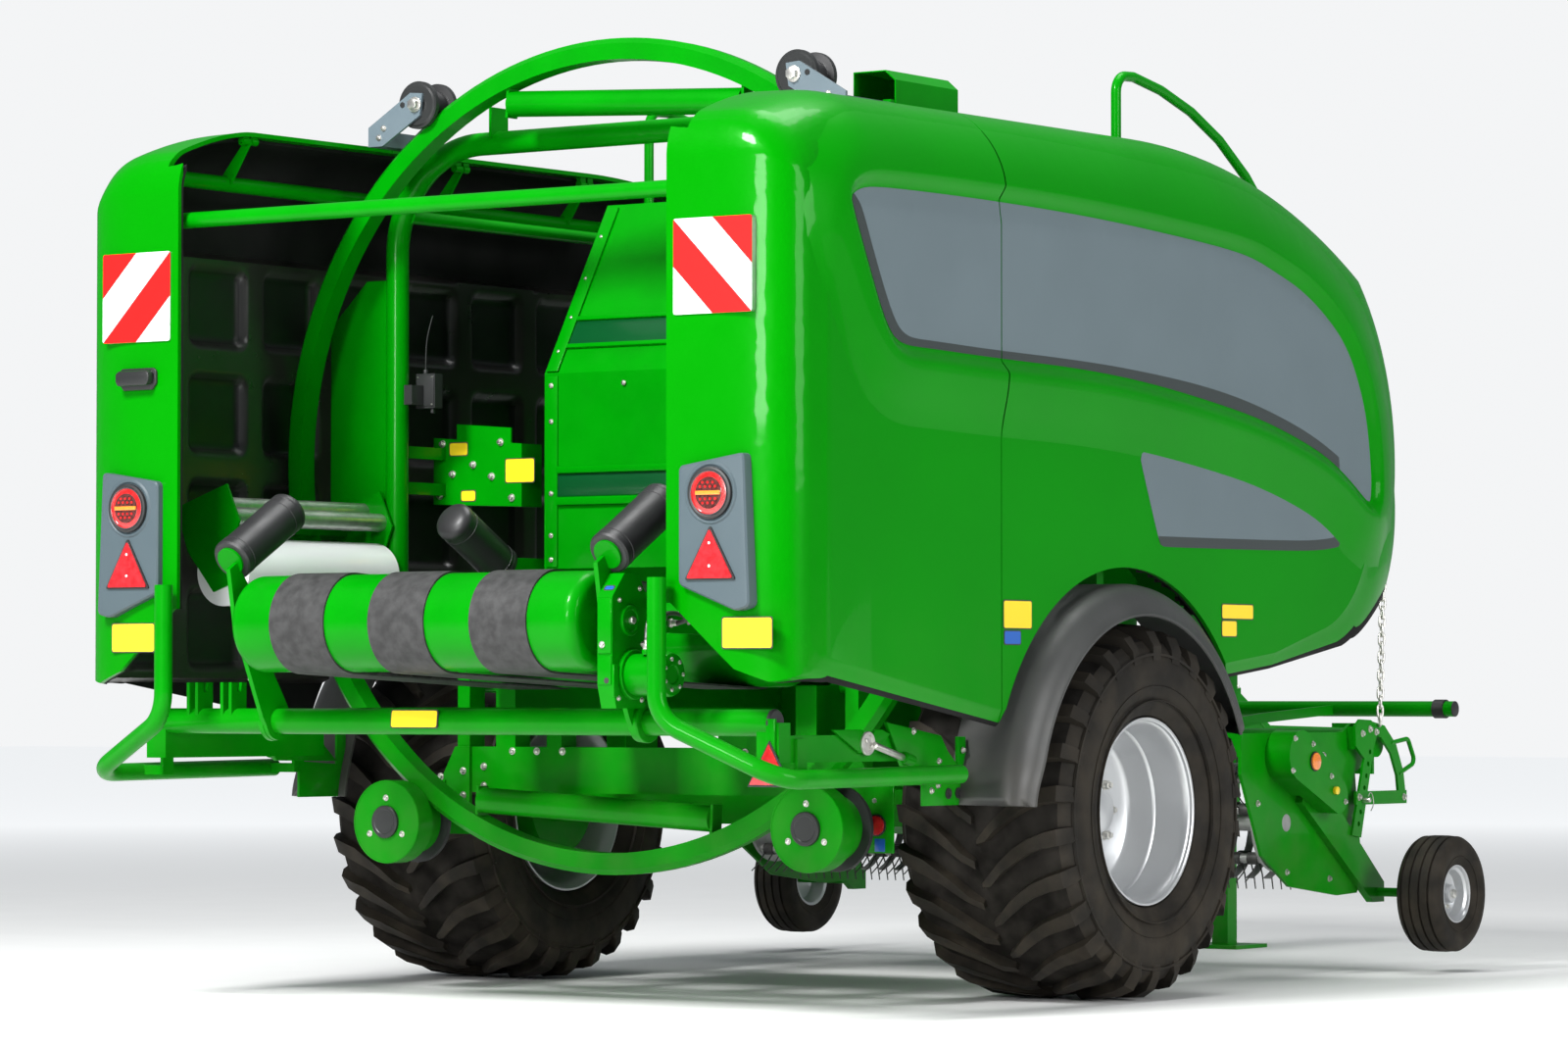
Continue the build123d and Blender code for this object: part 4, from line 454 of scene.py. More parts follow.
def add_lug(bm, side, turn):
    """One tread lug, swept from the crown out over the shoulder."""
    made = bmesh.ops.create_grid(bm, x_segments=len(LUG) - 1, y_segments=1, size=0.5)
    base = sorted(made["verts"], key=lambda v: (round(v.co.x, 4), v.co.y))
    faces = list({face for vert in base for face in vert.link_faces})
    raised = bmesh.ops.extrude_face_region(bm, geom=faces)["geom"]
    top = sorted(verts_of(raised), key=lambda v: (round(v.co.x, 4), v.co.y))
    crown = [face for face in raised if isinstance(face, bmesh.types.BMFace)]
    for layer, verts in ((0, base), (1, top)):
        for index, vert in enumerate(verts):
            across, radius, lean, height, half, lead = LUG[index // 2]
            edge = (half - LUG_TAPER * layer) * (1 if index % 2 else -1)
            out = across + layer * lean * height
            reach = radius - LUG_ROOT * (1 - layer) + layer * height * math.sqrt(1 - lean * lean)
            angle = turn + (lead + edge) / TREAD_RADIUS
            vert.co = Vector((reach * math.cos(angle), side * out, reach * math.sin(angle)))
    rim = [e for e in {e for f in crown for e in f.edges} if sum(f in crown for f in e.link_faces) == 1]
    bevel_edges(bm, rim, LUG_BEVEL, 1)


for name, s in SIDES:
    bm = bmesh.new()
    outline = list(CARCASS) + [(-across, radius) for across, radius in reversed(CARCASS[2:-1])]
    add_turned(bm, outline, (0, 0, 0), LEFT, steps=96)
    for way in (1, -1):
        for out, high, low in WALL_RINGS:
            add_turned(bm, ((out - 0.006, high), (out + 0.003, high - 0.002), (out + 0.003, low + 0.002),
                            (out - 0.006, low)), (0, 0, 0), outward(way), steps=96)
    # carcass faces past GROOVE_FROM lie between the lugs and take the darker groove rubber: painted shade
    for face in bm.faces:
        middle = face.calc_center_median()
        face.material_index = 1 if math.hypot(middle.x, middle.z) > GROOVE_FROM else 0
    pitch = math.tau / LUG_COUNT
    for i in range(LUG_COUNT):
        add_lug(bm, 1, i * pitch)
        add_lug(bm, -1, (i + 0.5) * pitch)
    bmesh.ops.translate(bm, verts=bm.verts, vec=at(0, s * WHEEL_Y, WHEEL_Z))
    piece(f"tread_tyre_{name}", bm, f"wheel_{name}", "tyre_rubber", tyre_rubber, tyre_groove_painted_shade,
          replaces=(f"tyre_{name}",), sharp=0.45)

# ---------------------------------------------------------------- warning boards and rear lamps
BOARD, BOARD_Y, BOARD_Z = 0.282, 1.12, 2.225
LAMP_Y, LAMP_Z = 1.13, 1.558
REAR_FACE = -1.93
BOARD_X, LAMP_X = REAR_FACE - 0.004, REAR_FACE - 0.026
STRIPE_WHITE, STRIPE_RED = (0.72, 0.76, 0.78), (0.62, 0.004, 0.003)
BEZEL = ((-0.006, 0.064), (0.01, 0.064), (0.012, 0.07), (0.01, 0.076), (-0.006, 0.078))
LENS = ((0, 0), (0.014, 0), (0.014, 0.03), (0.0125, 0.052), (0.008, 0.0655), (0, 0.0655))
LENS_CENTRE = ((0.013, 0), (0.0158, 0), (0.0145, 0.046), (0.0128, 0.047))
LENS_RING = ((0.01, 0.065), (0.013, 0.0655), (0.013, 0.063), (0.01, 0.0625))
LED_ROWS = ((-0.03, 3), (-0.018, 4), (0.018, 4), (0.03, 3))
TRIANGLE_BASE, TRIANGLE_APEX, TRIANGLE_HALF = 1.309, 1.454, 0.083


def striped_board(name, side):
    """Red and white reflective sheet whose stripes fall outwards."""
    mat = material(name, (0.75, 0.78, 0.8), 0.35, coat=0.2, mottle=0.02)
    tree = mat.node_tree
    start = (BOARD_Y - BOARD / 2 + BOARD_Z - BOARD / 2) / BOARD
    across = add_node(tree, "VectorMath", (0, object_place(tree)), (1, (0.0, side / BOARD, 1.0 / BOARD)),
                      out="Value", operation="DOT_PRODUCT")
    shifted = add_node(tree, "Math", (0, across), (1, 10.0 - start), operation="ADD")
    share = add_node(tree, "Math", (0, shifted), operation="FRACT")
    step = add_node(tree, "Math", (0, share), (1, 0.5), operation="GREATER_THAN")
    stripes = mix(tree, step, opaque(STRIPE_WHITE), opaque(STRIPE_RED))
    set_inputs(tree, tree.nodes["Principled BSDF"], ("Base Color", stripes))
    return mat


for name, s in SIDES:
    door = f"door_{name}"
    bm = bmesh.new()
    inner = min(s * (BOARD_Y - BOARD / 2), s * (BOARD_Y + BOARD / 2))
    verts = add_box(bm, at(BOARD_X - 0.0016, inner, BOARD_Z - BOARD / 2),
                    at(BOARD_X, inner + BOARD, BOARD_Z + BOARD / 2))
    round_corners(bm, verts, AHEAD, 0.008, segments=4)
    piece(f"warning_board_{name}", bm, door, "lamp_grey", striped_board(f"board_stripes_{name}", s))

    # bezel and seal, lens bowl, smoked centre with its amber bar and LED rows
    bm = bmesh.new()
    lamp = at(LAMP_X, s * LAMP_Y, LAMP_Z)
    for mat, profile in enumerate((BEZEL, LENS, LENS_CENTRE)):
        add_turned(bm, profile, lamp, BACK, steps=40, mat=mat)
    add_box(bm, lamp + Vector((-0.0185, -0.044, -0.006)), lamp + Vector((-0.014, 0.044, 0.006)), 0.001, mat=3)
    for row, count in LED_ROWS:
        for i in range(count):
            led = lamp + Vector((0, (i - (count - 1) / 2) * 0.018, row))
            add_stud(bm, led, BACK, 0.014, 0.0178, 0.0042, steps=8, mat=1)
    add_turned(bm, LENS_RING, lamp, BACK, steps=40, mat=4)
    piece(f"rear_lamp_{name}", bm, door, "lamp_grey", seal_black, lens_red, lens_dark, lens_amber, chrome_ring)

    bm = bmesh.new()
    for grow, depth, mat in ((0.008, 0.006, 0), (0, 0.009, 1)):
        foot, half = TRIANGLE_BASE - 0.6 * grow, TRIANGLE_HALF + grow
        outline = [at(LAMP_X, s * LAMP_Y - half, foot), at(LAMP_X, s * LAMP_Y + half, foot),
                   at(LAMP_X, s * LAMP_Y, TRIANGLE_APEX + 1.2 * grow)]
        verts = add_plate(bm, outline[::s], BACK * depth, mat=mat)
        round_corners(bm, verts, AHEAD, 0.008)
    for z in (1.345, 1.412):
        add_stud(bm, at(LAMP_X, s * LAMP_Y, z), BACK, 0.009, 0.0105, 0.004, steps=12, mat=2)
    piece(f"rear_reflector_{name}", bm, door, "lamp_grey", seal_black, reflector_red, film_white)


# ---------------------------------------------------------------- raised lips and grey bands of the side doors
# Side view of the upper band, the line its dark stripe runs along, and the lower field.
BAND_TOP = ((-1.6, 2.44), (-1.585, 2.452), (-1.536, 2.47), (-1.43, 2.478), (-1.15, 2.482), (-0.86, 2.483),
            (-0.48, 2.48), (-0.12, 2.471), (0.305, 2.451), (0.63, 2.431), (0.78, 2.412), (0.9, 2.382),
            (1.106, 2.327), (1.292, 2.235), (1.411, 2.138), (1.479, 2.038), (1.527, 1.936), (1.552, 1.833),
            (1.566, 1.73), (1.566, 1.665), (1.558, 1.632), (1.545, 1.628))
BAND_LOW = ((1.38, 1.723), (1.196, 1.796), (0.851, 1.877), (0.516, 1.924), (0.087, 1.97), (-0.325, 1.994),
            (-0.833, 2.001), (-1.164, 2.01), (-1.29, 2.012), (-1.34, 2.018), (-1.38, 2.032), (-1.408, 2.056),
            (-1.453, 2.118), (-1.521, 2.251), (-1.578, 2.362), (-1.6, 2.41), (-1.606, 2.428))
BAND_LINE = ((1.34, 1.776), (1.197, 1.835), (0.851, 1.917), (0.516, 1.969), (0.087, 2.002), (-0.325, 2.019),
             (-0.833, 2.025), (-1.164, 2.034), (-1.28, 2.036), (-1.322, 2.045), (-1.355, 2.062), (-1.378, 2.085),
             (-1.414, 2.135), (-1.484, 2.265), (-1.54, 2.38), (-1.566, 2.425), (-1.585, 2.444))
FIELD_TOP = ((0.02, 1.756), (0.22, 1.757), (0.445, 1.748), (0.64, 1.727), (0.83, 1.695), (0.97, 1.661),
             (1.094, 1.624), (1.263, 1.546), (1.33, 1.5), (1.352, 1.48), (1.34, 1.472))
FIELD_LOW = ((1.2, 1.456), (0.9, 1.45), (0.5, 1.447), (0.176, 1.445), (0.16, 1.45), (0.15, 1.464),
             (0.112, 1.546), (0.058, 1.668))
FIELD_LINE = ((1.3, 1.503), (1.2, 1.49), (0.9, 1.484), (0.5, 1.481), (0.145, 1.479))
SEAM, SEAM_HALF = -0.79, 0.003
LIP, LIP_WALL, LIP_FALL = 0.03, 0.05, 0.21
LIP_SUNK, LIP_CLEAR = 0.0012, 0.0002
SKIN, SUNK = 0.0014, -0.0015
LOOK_REACH, ASIDE = 0.75, 1.3
EDGE_ON = 0.3
LINE_STEP, FIELD_NET = 0.02, 0.02
# How far outside the band each row of the lip lies.
LIP_ROWS = (-0.006, 0.001, 0.006, 0.013, 0.022, 0.032, 0.042, 0.05, 0.058, 0.07, 0.086, 0.106, 0.13, 0.158,
            0.188, 0.22, 0.255, 0.275)


def rounded_line(points, closed=True):
    """A smooth side line through guide points, as evenly spaced places."""
    mesh = curve_mesh([(x, 0.0, z) for x, z in points], 0.0, 10, closed)
    line = [(v.co.x, v.co.z) for v in mesh.vertices]
    bpy.data.meshes.remove(mesh)
    spaced, carried = [line[0]], 0.0
    for here, there in zip(line, line[1:]):
        carried += math.dist(here, there)
        if carried >= LINE_STEP:
            spaced.append(there)
            carried = 0.0
    if not closed and spaced[-1] != line[-1]:
        spaced.append(line[-1])
    return spaced


class Skin:
    """The outside or inside of some CAD nodes, found by looking across the machine."""

    def __init__(self, names, side, start=1.6, way=-1):
        bm = bmesh.new()
        for name in names:
            bm.from_mesh(NODES[name].data)
        self.tree = BVHTree.FromBMesh(bm)
        bm.free()
        self.side, self.start, self.way = side, start, way

    def place(self, x, z, lift):
        """The skin's point at a side-view place, lifted off along its normal, or nothing."""
        origin = at(x, self.side * self.start, z)
        spot, normal, _, _ = self.tree.ray_cast(origin, outward(self.side * self.way), LOOK_REACH)
        if spot is None:
            return None
        if normal.y * self.side * self.way > 0:
            normal = -normal
        return spot + normal * lift, normal


def door_skin(name, side):
    """The outside of one side door."""
    return Skin((f"side_door_rear_{name}", f"side_door_front_{name}"), side)


def smooth_step(value):
    """Runs from 0 to 1 with a soft start and end."""
    value = max(0.0, min(1.0, value))
    return value * value * (3 - 2 * value)


def lip_height(out):
    """Height of the raised lip at a distance outside the band."""
    if out <= 0:
        return -LIP_SUNK
    if out <= LIP_WALL:
        return LIP * smooth_step(out / LIP_WALL) + LIP_CLEAR
    fallen = smooth_step((out - LIP_WALL) / LIP_FALL)
    return LIP * (1 - fallen) - LIP_SUNK * fallen


def add_lip(bm, skin, line):
    """A lip that rises round a closed side line and sinks back into the door."""
    count = len(line)
    turned = sum(a[0] * b[1] - b[0] * a[1] for a, b in zip(line, line[1:] + line[:1]))
    way = -1 if turned > 0 else 1
    normals = []
    for i in range(count):
        dx = line[(i + 2) % count][0] - line[i - 2][0]
        dz = line[(i + 2) % count][1] - line[i - 2][1]
        length = math.hypot(dx, dz)
        normals.append((-dz / length * way, dx / length * way))
    last = [bm.verts.new(at(x, 0, z)) for x, z in line]
    edges = close_loop(bm, last)
    lost = set()
    for row, out in enumerate(LIP_ROWS):
        if row:
            made = bmesh.ops.extrude_edge_only(bm, edges=edges)["geom"]
            fresh = set(verts_of(made))
            edges = [e for e in made if isinstance(e, bmesh.types.BMEdge) and fresh.issuperset(e.verts)]
            last = [next(e.other_vert(vert) for e in vert.link_edges if e.other_vert(vert) in fresh)
                    for vert in last]
        for vert, (x, z), (nx, nz) in zip(last, line, normals):
            placed = skin.place(x + nx * out, z + nz * out, lip_height(out))
            vert.co = placed[0] if placed else at(x, skin.side * ASIDE, z)
            if placed is None or abs(placed[1].y) < EDGE_ON:
                lost.add(vert)
    bmesh.ops.delete(bm, geom=list(lost), context="VERTS")


def add_field(bm, outline, mat):
    """A flat painted field inside a closed side outline, cut into a net and open at the doors' seam."""
    edges = close_loop(bm, [bm.verts.new((x, 0, z)) for x, z in outline])
    bmesh.ops.triangle_fill(bm, edges=edges, use_beauty=True, normal=RIGHT)
    for face in bm.faces:
        face.material_index = mat
    for index, way in ((0, AHEAD), (1, UP)):
        low, high = min(point[index] for point in outline), max(point[index] for point in outline)
        for i in range(1, int((high - low) / FIELD_NET) + 1):
            cut_mesh(bm, way * (low + FIELD_NET * i), way)
    split_at_seam(bm, SEAM)


def settle_field(bm, skin):
    """Lays flat fields on the skin and turns their edges down into it."""
    rims = [edge for edge in bm.edges if len(edge.link_faces) == 1]
    sunk = set(verts_of(bmesh.ops.extrude_edge_only(bm, edges=rims)["geom"]))
    for vert in bm.verts:
        placed = skin.place(vert.co.x, vert.co.z, SUNK if vert in sunk else SKIN)
        vert.co = placed[0] if placed else at(vert.co.x, skin.side * ASIDE, vert.co.z)


def split_at_seam(bm, seam):
    """Opens the gap between the rear and front halves of a door."""
    for side in (-1, 1):
        cut_mesh(bm, AHEAD * (seam + side * SEAM_HALF), AHEAD)
    in_gap = [face for face in bm.faces if abs(face.calc_center_median().x - seam) < SEAM_HALF]
    bmesh.ops.delete(bm, geom=in_gap, context="FACES")


DROOP_START, DROOP_RAIL, DROOP_END = -1.5, -1.885, -1.93
DROOP_LOW, DROOP_BAND = 2.4, 0.3
DROOP_FALL, DROOP_TAIL = 0.1, 0.035


def droop(point):
    """How far the door's roof has fallen at a place, towards its rear edge."""
    x = point.x - AXLE_X
    if x >= DROOP_START:
        return 0.0
    fall = DROOP_FALL * min(1.0, (DROOP_START - x) / (DROOP_START - DROOP_RAIL)) ** 1.6
    if x < DROOP_RAIL:
        fall += DROOP_TAIL * ((DROOP_RAIL - x) / (DROOP_RAIL - DROOP_END)) ** 2
    return fall * smooth_step((point.z - DROOP_LOW) / DROOP_BAND)


def let_down(bm):
    """Lets a mesh fall with the door's roof."""
    for vert in bm.verts:
        vert.co.z -= droop(vert.co)


def add_drooped(bm, node):
    """The skin of a CAD node with the rear of its roof let down."""
    bm.from_mesh(NODES[node].data)
    bmesh.ops.remove_doubles(bm, verts=bm.verts, dist=WELD)
    cuts = [(at(-1.915 + 0.03 * i, 0, 0), AHEAD) for i in range(15)]
    cuts += [(UP * (DROOP_LOW + 0.04 * i), UP) for i in range(10)]
    start_x = AXLE_X + DROOP_START
    for spot, normal in cuts:
        near = [face for face in bm.faces if min(v.co.x for v in face.verts) < start_x
                and max(v.co.z for v in face.verts) > DROOP_LOW - 0.02]
        edges = {edge for face in near for edge in face.edges}
        verts = {vert for edge in edges for vert in edge.verts}
        cut_mesh(bm, spot, normal, [*verts, *edges, *near])
    let_down(bm)


for name, s in SIDES:
    for node, label, finish, slot_name in (
            (f"side_door_rear_{name}", f"rear_door_{name}", green_door, "green_gloss"),
            # the lining takes its darker black: painted shade along the door's lower edge
            (f"door_liner_{name}", f"door_lining_{name}", lining_back, "black_plastic")):
        bm = bmesh.new()
        add_drooped(bm, node)
        made = piece(label, bm, f"door_{name}", slot_name, finish, replaces=(node,), sharp=0.5)
        # broad faces stay flat beside their rounded edges
        made.modifiers.new("even_shading", "WEIGHTED_NORMAL").keep_sharp = True

band_edge = rounded_line(BAND_TOP + BAND_LOW)
band_line = rounded_line(BAND_LINE, closed=False)
field_edge = rounded_line(FIELD_TOP + FIELD_LOW)
field_line = rounded_line(FIELD_LINE, closed=False)


def split_outline(edge, line):
    """The two outlines that a stripe line cuts a closed outline into."""
    start = min(range(len(edge)), key=lambda i: math.dist(edge[i], line[0]))
    end = min(range(len(edge)), key=lambda i: math.dist(edge[i], line[-1]))
    turned = edge[start:] + edge[:start]
    far = (end - start) % len(edge)
    return turned[:far + 1] + line[::-1], turned[far:] + turned[:1] + line


for name, s in SIDES:
    skin = door_skin(name, s)
    bm = bmesh.new()
    add_lip(bm, skin, band_edge)
    split_at_seam(bm, at(SEAM, 0, 0).x)
    let_down(bm)
    piece(f"door_lip_{name}", bm, f"door_{name}", "green_gloss", green_door, sharp=0.9)

    for label, edge, line in (("band", band_edge, band_line), ("field", field_edge, field_line)):
        stripe, main = sorted(split_outline(edge, line), key=lambda part: sum(p[1] for p in part) / len(part))
        bm = bmesh.new()
        for mat, outline in enumerate((main, stripe)):
            patch = bmesh.new()
            add_field(patch, outline, mat)
            spare = bpy.data.meshes.new("patch")
            patch.to_mesh(spare)
            patch.free()
            take_mesh(bm, spare)
        bmesh.ops.remove_doubles(bm, verts=bm.verts, dist=0.0002)
        settle_field(bm, skin)
        piece(f"door_{label}_{name}", bm, f"door_{name}", "grey_paint", grey_band, dark_band, sharp=0.9)

# ---------------------------------------------------------------- moulded mudguards
GUARD_X, GUARD_Z = -0.05, 0.58
GUARD_SECTION = ((1.2, 0.743), (1.385, 0.743), (1.408, 0.738), (1.43, 0.725), (1.447, 0.706), (1.46, 0.68),
                 (1.4655, 0.652), (1.4715, 0.647), (1.4715, 0.641), (1.466, 0.638), (1.459, 0.643),
                 (1.4535, 0.678), (1.441, 0.701), (1.425, 0.719), (1.404, 0.731), (1.384, 0.735), (1.2, 0.735))
GUARD_START, GUARD_END = 24.0, 176.0
FLARE, FLARE_GROW = 14.0, 0.02
SHOULDER_Y = 1.36

bm = bmesh.new()
centre = at(GUARD_X, 0, GUARD_Z)
start = math.radians(GUARD_START)
for s in (1, -1):
    add_swept(bm, [centre + Vector((r * math.cos(start), s * y, r * math.sin(start))) for y, r in GUARD_SECTION],
              centre, GUARD_END - GUARD_START, 76)
for vert in bm.verts:
    off = vert.co - centre
    angle = math.degrees(math.atan2(off.z, off.x))
    flare = smooth_step((angle - (GUARD_END - FLARE)) / FLARE)
    shoulder = smooth_step((abs(vert.co.y) - SHOULDER_Y) / 0.1)
    grow = 1 + flare * FLARE_GROW * (0.4 + shoulder) / math.hypot(off.x, off.z)
    vert.co = Vector((centre.x + off.x * grow, vert.co.y, centre.z + off.z * grow))
piece("moulded_mudguards", bm, "chassis", "black_plastic", guard_black, replaces=("mudguards",), sharp=0.7)

# ---------------------------------------------------------------- road rims
RIM_SECTION = ((0.28, 0.2985), (0.28, 0.2925), (0.277, 0.2885), (0.269, 0.2868), (0.2665, 0.283),
               (0.2615, 0.279), (0.24, 0.2745), (0.15, 0.272), (0.1455, 0.265), (0.14, 0.2625),
               (0.066, 0.259), (0.056, 0.254), (0.049, 0.244), (0.044, 0.225), (0.043, 0.156),
               (0.046, 0.15), (0.052, 0.146), (0.056, 0.14), (0.056, 0.128), (0.052, 0.122),
               (0.047, 0.118), (0.045, 0.109), (0.033, 0.106), (0.033, 0.23), (0.046, 0.264),
               (-0.24, 0.269), (-0.265, 0.28), (-0.28, 0.2925), (-0.28, 0.2985), (-0.271, 0.2985),
               (-0.26, 0.2845), (0.259, 0.2845), (0.27, 0.2985))
HUB_SECTION = ((0.033, 0), (0.033, 0.1055), (0.048, 0.105), (0.056, 0.099), (0.06, 0.072),
               (0.108, 0.069), (0.118, 0.064), (0.123, 0.052), (0.126, 0))
STUD_CIRCLE, STUD_COUNT, STUD_FACE = 0.137, 10, 0.056
for name, s in SIDES:
    bm = bmesh.new()
    out = outward(s)
    hub = at(0, s * WHEEL_Y, WHEEL_Z)
    add_turned(bm, RIM_SECTION, hub, out, steps=96)
    add_turned(bm, HUB_SECTION, hub, out, steps=48)
    for spot in around(hub + out * STUD_FACE, STUD_CIRCLE, STUD_COUNT):
        add_stud(bm, spot, out, 0, 0.003, 0.0165, steps=20, mat=1)
        add_stud(bm, spot, out, 0, 0.019, 0.0145, steps=6, bevel=0.001, mat=1)
        add_stud(bm, spot, out, 0, 0.028, 0.0085, steps=12, bevel=0.0015, mat=1)
    valve = hub + Vector((0.246 * math.cos(2.2), s * 0.052, 0.246 * math.sin(2.2)))
    add_stud(bm, valve, out, 0, 0.04, 0.005, steps=12, bevel=0.001, mat=1)
    add_stud(bm, valve, out, 0.032, 0.05, 0.0072, steps=12, bevel=0.0015, mat=2)
    piece(f"wheel_rim_{name}", bm, f"wheel_{name}", "silver_rim", rim_silver, zinc, seal_black,
          replaces=(f"rim_{name}",), sharp=0.6)


# ---------------------------------------------------------------- linings of the side doors
POCKET_X, POCKET_Z, POCKET_WALL, POCKET_CORNER = 0.372, 0.352, 0.026, 0.045
RIB, RIB_HALF = 0.03, 0.04
LINING_X, LINING_Z = -1.85, 1.01
COLUMNS, ROWS = 7, 4
CELLS_X, CELLS_Z = 26, 24
RIB_CLEAR, BORDER_SUNK, LINING_EDGE_ON, FLOOR_SHARE = 0.0006, 0.001, 0.35, 0.85


def lining_place(co):
    """The side-view place of a point on the lining's unit grid."""
    return LINING_X + (co.x + 0.5) * COLUMNS * POCKET_X, LINING_Z + (co.y + 0.5) * ROWS * POCKET_Z


def rib_height(x, z):
    """Height of the lining's moulded ribs: full between pockets, none on their floors."""
    half_x, half_z = POCKET_X / 2, POCKET_Z / 2
    dx = abs((x - LINING_X) % POCKET_X - half_x) - (half_x - RIB_HALF - POCKET_CORNER)
    dz = abs((z - LINING_Z) % POCKET_Z - half_z) - (half_z - RIB_HALF - POCKET_CORNER)
    outside = math.hypot(max(dx, 0), max(dz, 0)) + min(max(dx, dz), 0) - POCKET_CORNER
    return RIB * smooth_step((outside + POCKET_WALL) / POCKET_WALL)


for name, s in SIDES:
    lining = Skin((f"door_liner_{name}",), s, start=0.9, way=1)
    bm = bmesh.new()
    bmesh.ops.create_grid(bm, x_segments=COLUMNS * CELLS_X, y_segments=ROWS * CELLS_Z, size=0.5)
    # faces on the pocket floors take the darker black: painted shade in the pockets
    for face in bm.faces:
        on_floor = 1 - rib_height(*lining_place(face.calc_center_median())) / RIB > FLOOR_SHARE
        face.material_index = 1 if on_floor else 0
    lost = []
    for vert in bm.verts:
        x, z = lining_place(vert.co)
        border = max(abs(vert.co.x), abs(vert.co.y)) > 0.4999
        placed = lining.place(x, z, -BORDER_SUNK if border else rib_height(x, z) + RIB_CLEAR)
        if placed is None or abs(placed[1].y) < LINING_EDGE_ON:
            lost.append(vert)
        else:
            vert.co = placed[0]
    bmesh.ops.delete(bm, geom=lost, context="VERTS")
    let_down(bm)
    piece(f"lining_ribs_{name}", bm, f"door_{name}", "black_plastic", liner_black, pocket_painted_shade, sharp=0.9)

# ---------------------------------------------------------------- ring guide rollers and spools
GUIDE_Y, GUIDE_Z = 0.832, 0.557
SPOOL_Y, SPOOL_Z = 0.754, 2.9
ARM_X = -0.991
GUIDE_HUB = ((-0.002, 0), (-0.002, 0.053), (0.01, 0.053), (0.0125, 0.05), (0.0125, 0.041), (0.0105, 0.038),
             (0.0105, 0))
GUIDE_EDGE = ((-0.001, 0.1355), (-0.01, 0.1362), (-0.01, 0.1335), (0.0012, 0.1295), (0.0012, 0.133))
GUIDE_TREAD = ((0.074, 0.06), (0.074, 0.1352), (0.065, 0.1358), (0.058, 0.1352), (0.058, 0.06))
SPOOL_FLANGE = ((-0.0003, 0.03), (-0.0003, 0.0783), (0.0143, 0.0783), (0.0143, 0.03))
SPOOL_FACE = ((0, 0.026), (0, 0.072), (0.0045, 0.066), (0.0045, 0.034), (0.002, 0.03))
for name, s in SIDES:
    bm = bmesh.new()
    face = at(-1.035, s * GUIDE_Y, GUIDE_Z)
    add_turned(bm, GUIDE_HUB, face, BACK, steps=40, mat=1)
    add_turned(bm, GUIDE_EDGE, face, BACK, steps=64, mat=0)
    add_bolts(bm, around(face, 0.078, 3, start=90, axis="x"), BACK, 0.01, mat=2)
    # dark flange and tread behind the green cover
    add_turned(bm, GUIDE_TREAD, at(-0.938, s * GUIDE_Y, GUIDE_Z), AHEAD, steps=64, mat=1)
    piece(f"guide_cap_{name}", bm, f"lower_roller_{name}", "dark_rubber", green_steel, cap_black, zinc)

    bm = bmesh.new()
    for x in (-0.977, -0.879):
        add_turned(bm, SPOOL_FLANGE, at(x, s * SPOOL_Y, SPOOL_Z), AHEAD)
    for x, way in ((-0.977, BACK), (-0.865, AHEAD)):
        add_turned(bm, SPOOL_FACE, at(x, s * SPOOL_Y, SPOOL_Z), way)
    piece(f"spool_flanges_{name}", bm, f"upper_roller_{name}", "dark_rubber", cap_black)

bm = bmesh.new()
for s in (1, -1):
    hub = at(ARM_X, s * SPOOL_Y, SPOOL_Z)
    add_stud(bm, hub, BACK, 0, 0.0035, 0.026, steps=28, bevel=0.0008)
    add_stud(bm, hub, BACK, 0, 0.02, 0.0195, steps=6, bevel=0.001)
    add_turned(bm, ((0, 0), (0, 0.0095), (0.0015, 0.0095), (0.0015, 0)),
               at(ARM_X, s * (SPOOL_Y + 0.052), SPOOL_Z + 0.002), BACK, steps=24, mat=1)
    add_bolts(bm, [at(ARM_X, s * y, z) for y, z in ((0.885, 2.83), (0.905, 2.8))], BACK, 0.01, mat=0)
piece("roller_arm_bolts", bm, "chassis", "steel", zinc, cap_black)


# ---------------------------------------------------------------- blank safety plates
def label_plate(bm, centre, across, up, width, height, mat, lift=0.0006):
    """A blank plate with round corners and a dark border, lying on a surface."""
    centre, across, up = Vector(centre), Vector(across).normalized(), Vector(up).normalized()
    normal = across.cross(up)
    for inset, rise, tone in ((0.0, lift, 2), (0.0035, lift + 0.0004, mat)):
        w, h = width / 2 - inset, height / 2 - inset
        corners = [centre + across * a * w + up * b * h - normal * 0.001
                   for a, b in ((-1, -1), (1, -1), (1, 1), (-1, 1))]
        round_corners(bm, add_plate(bm, corners, normal * (rise + 0.001), mat=tone), normal, 0.007)


# ---------------------------------------------------------------- wrapping table fittings
TABLE_SIDE = 0.7195
COVER_BACK, COVER_SIDE = -1.9635, -0.776
ROLLER_Y = 0.733
SIDE_ROLLER_LINES = (((-1.915, 1.392), (-1.655, 1.545)), ((-0.56, 1.4), (-0.805, 1.54)))
DOMED_CAP = ((-0.014, 0.0662), (-0.012, 0.0672), (0.002, 0.0668), (0.01, 0.0625), (0.019, 0.053), (0.025, 0.038),
             (0.028, 0.018), (0.0285, 0), (-0.014, 0))
FLAT_CAP = ((-0.016, 0.0662), (-0.014, 0.0675), (0.002, 0.0675), (0.008, 0.062), (0.008, 0), (-0.016, 0))
MOULD_LINE = ((-0.004, 0.0655), (-0.003, 0.0675), (0.003, 0.0675), (0.004, 0.0655))
bm = bmesh.new()
for s in (1, -1):
    for low, high in SIDE_ROLLER_LINES:
        start, end = at(low[0], s * ROLLER_Y, low[1]), at(high[0], s * ROLLER_Y, high[1])
        along = (end - start).normalized()
        add_turned(bm, DOMED_CAP, end, along, steps=40)
        add_turned(bm, FLAT_CAP, start, -along, steps=40)
        for share in (0.1, 0.86):
            add_turned(bm, MOULD_LINE, start.lerp(end, share), along, steps=40)
piece("side_roller_caps", bm, "table", "dark_rubber", roller_rubber)

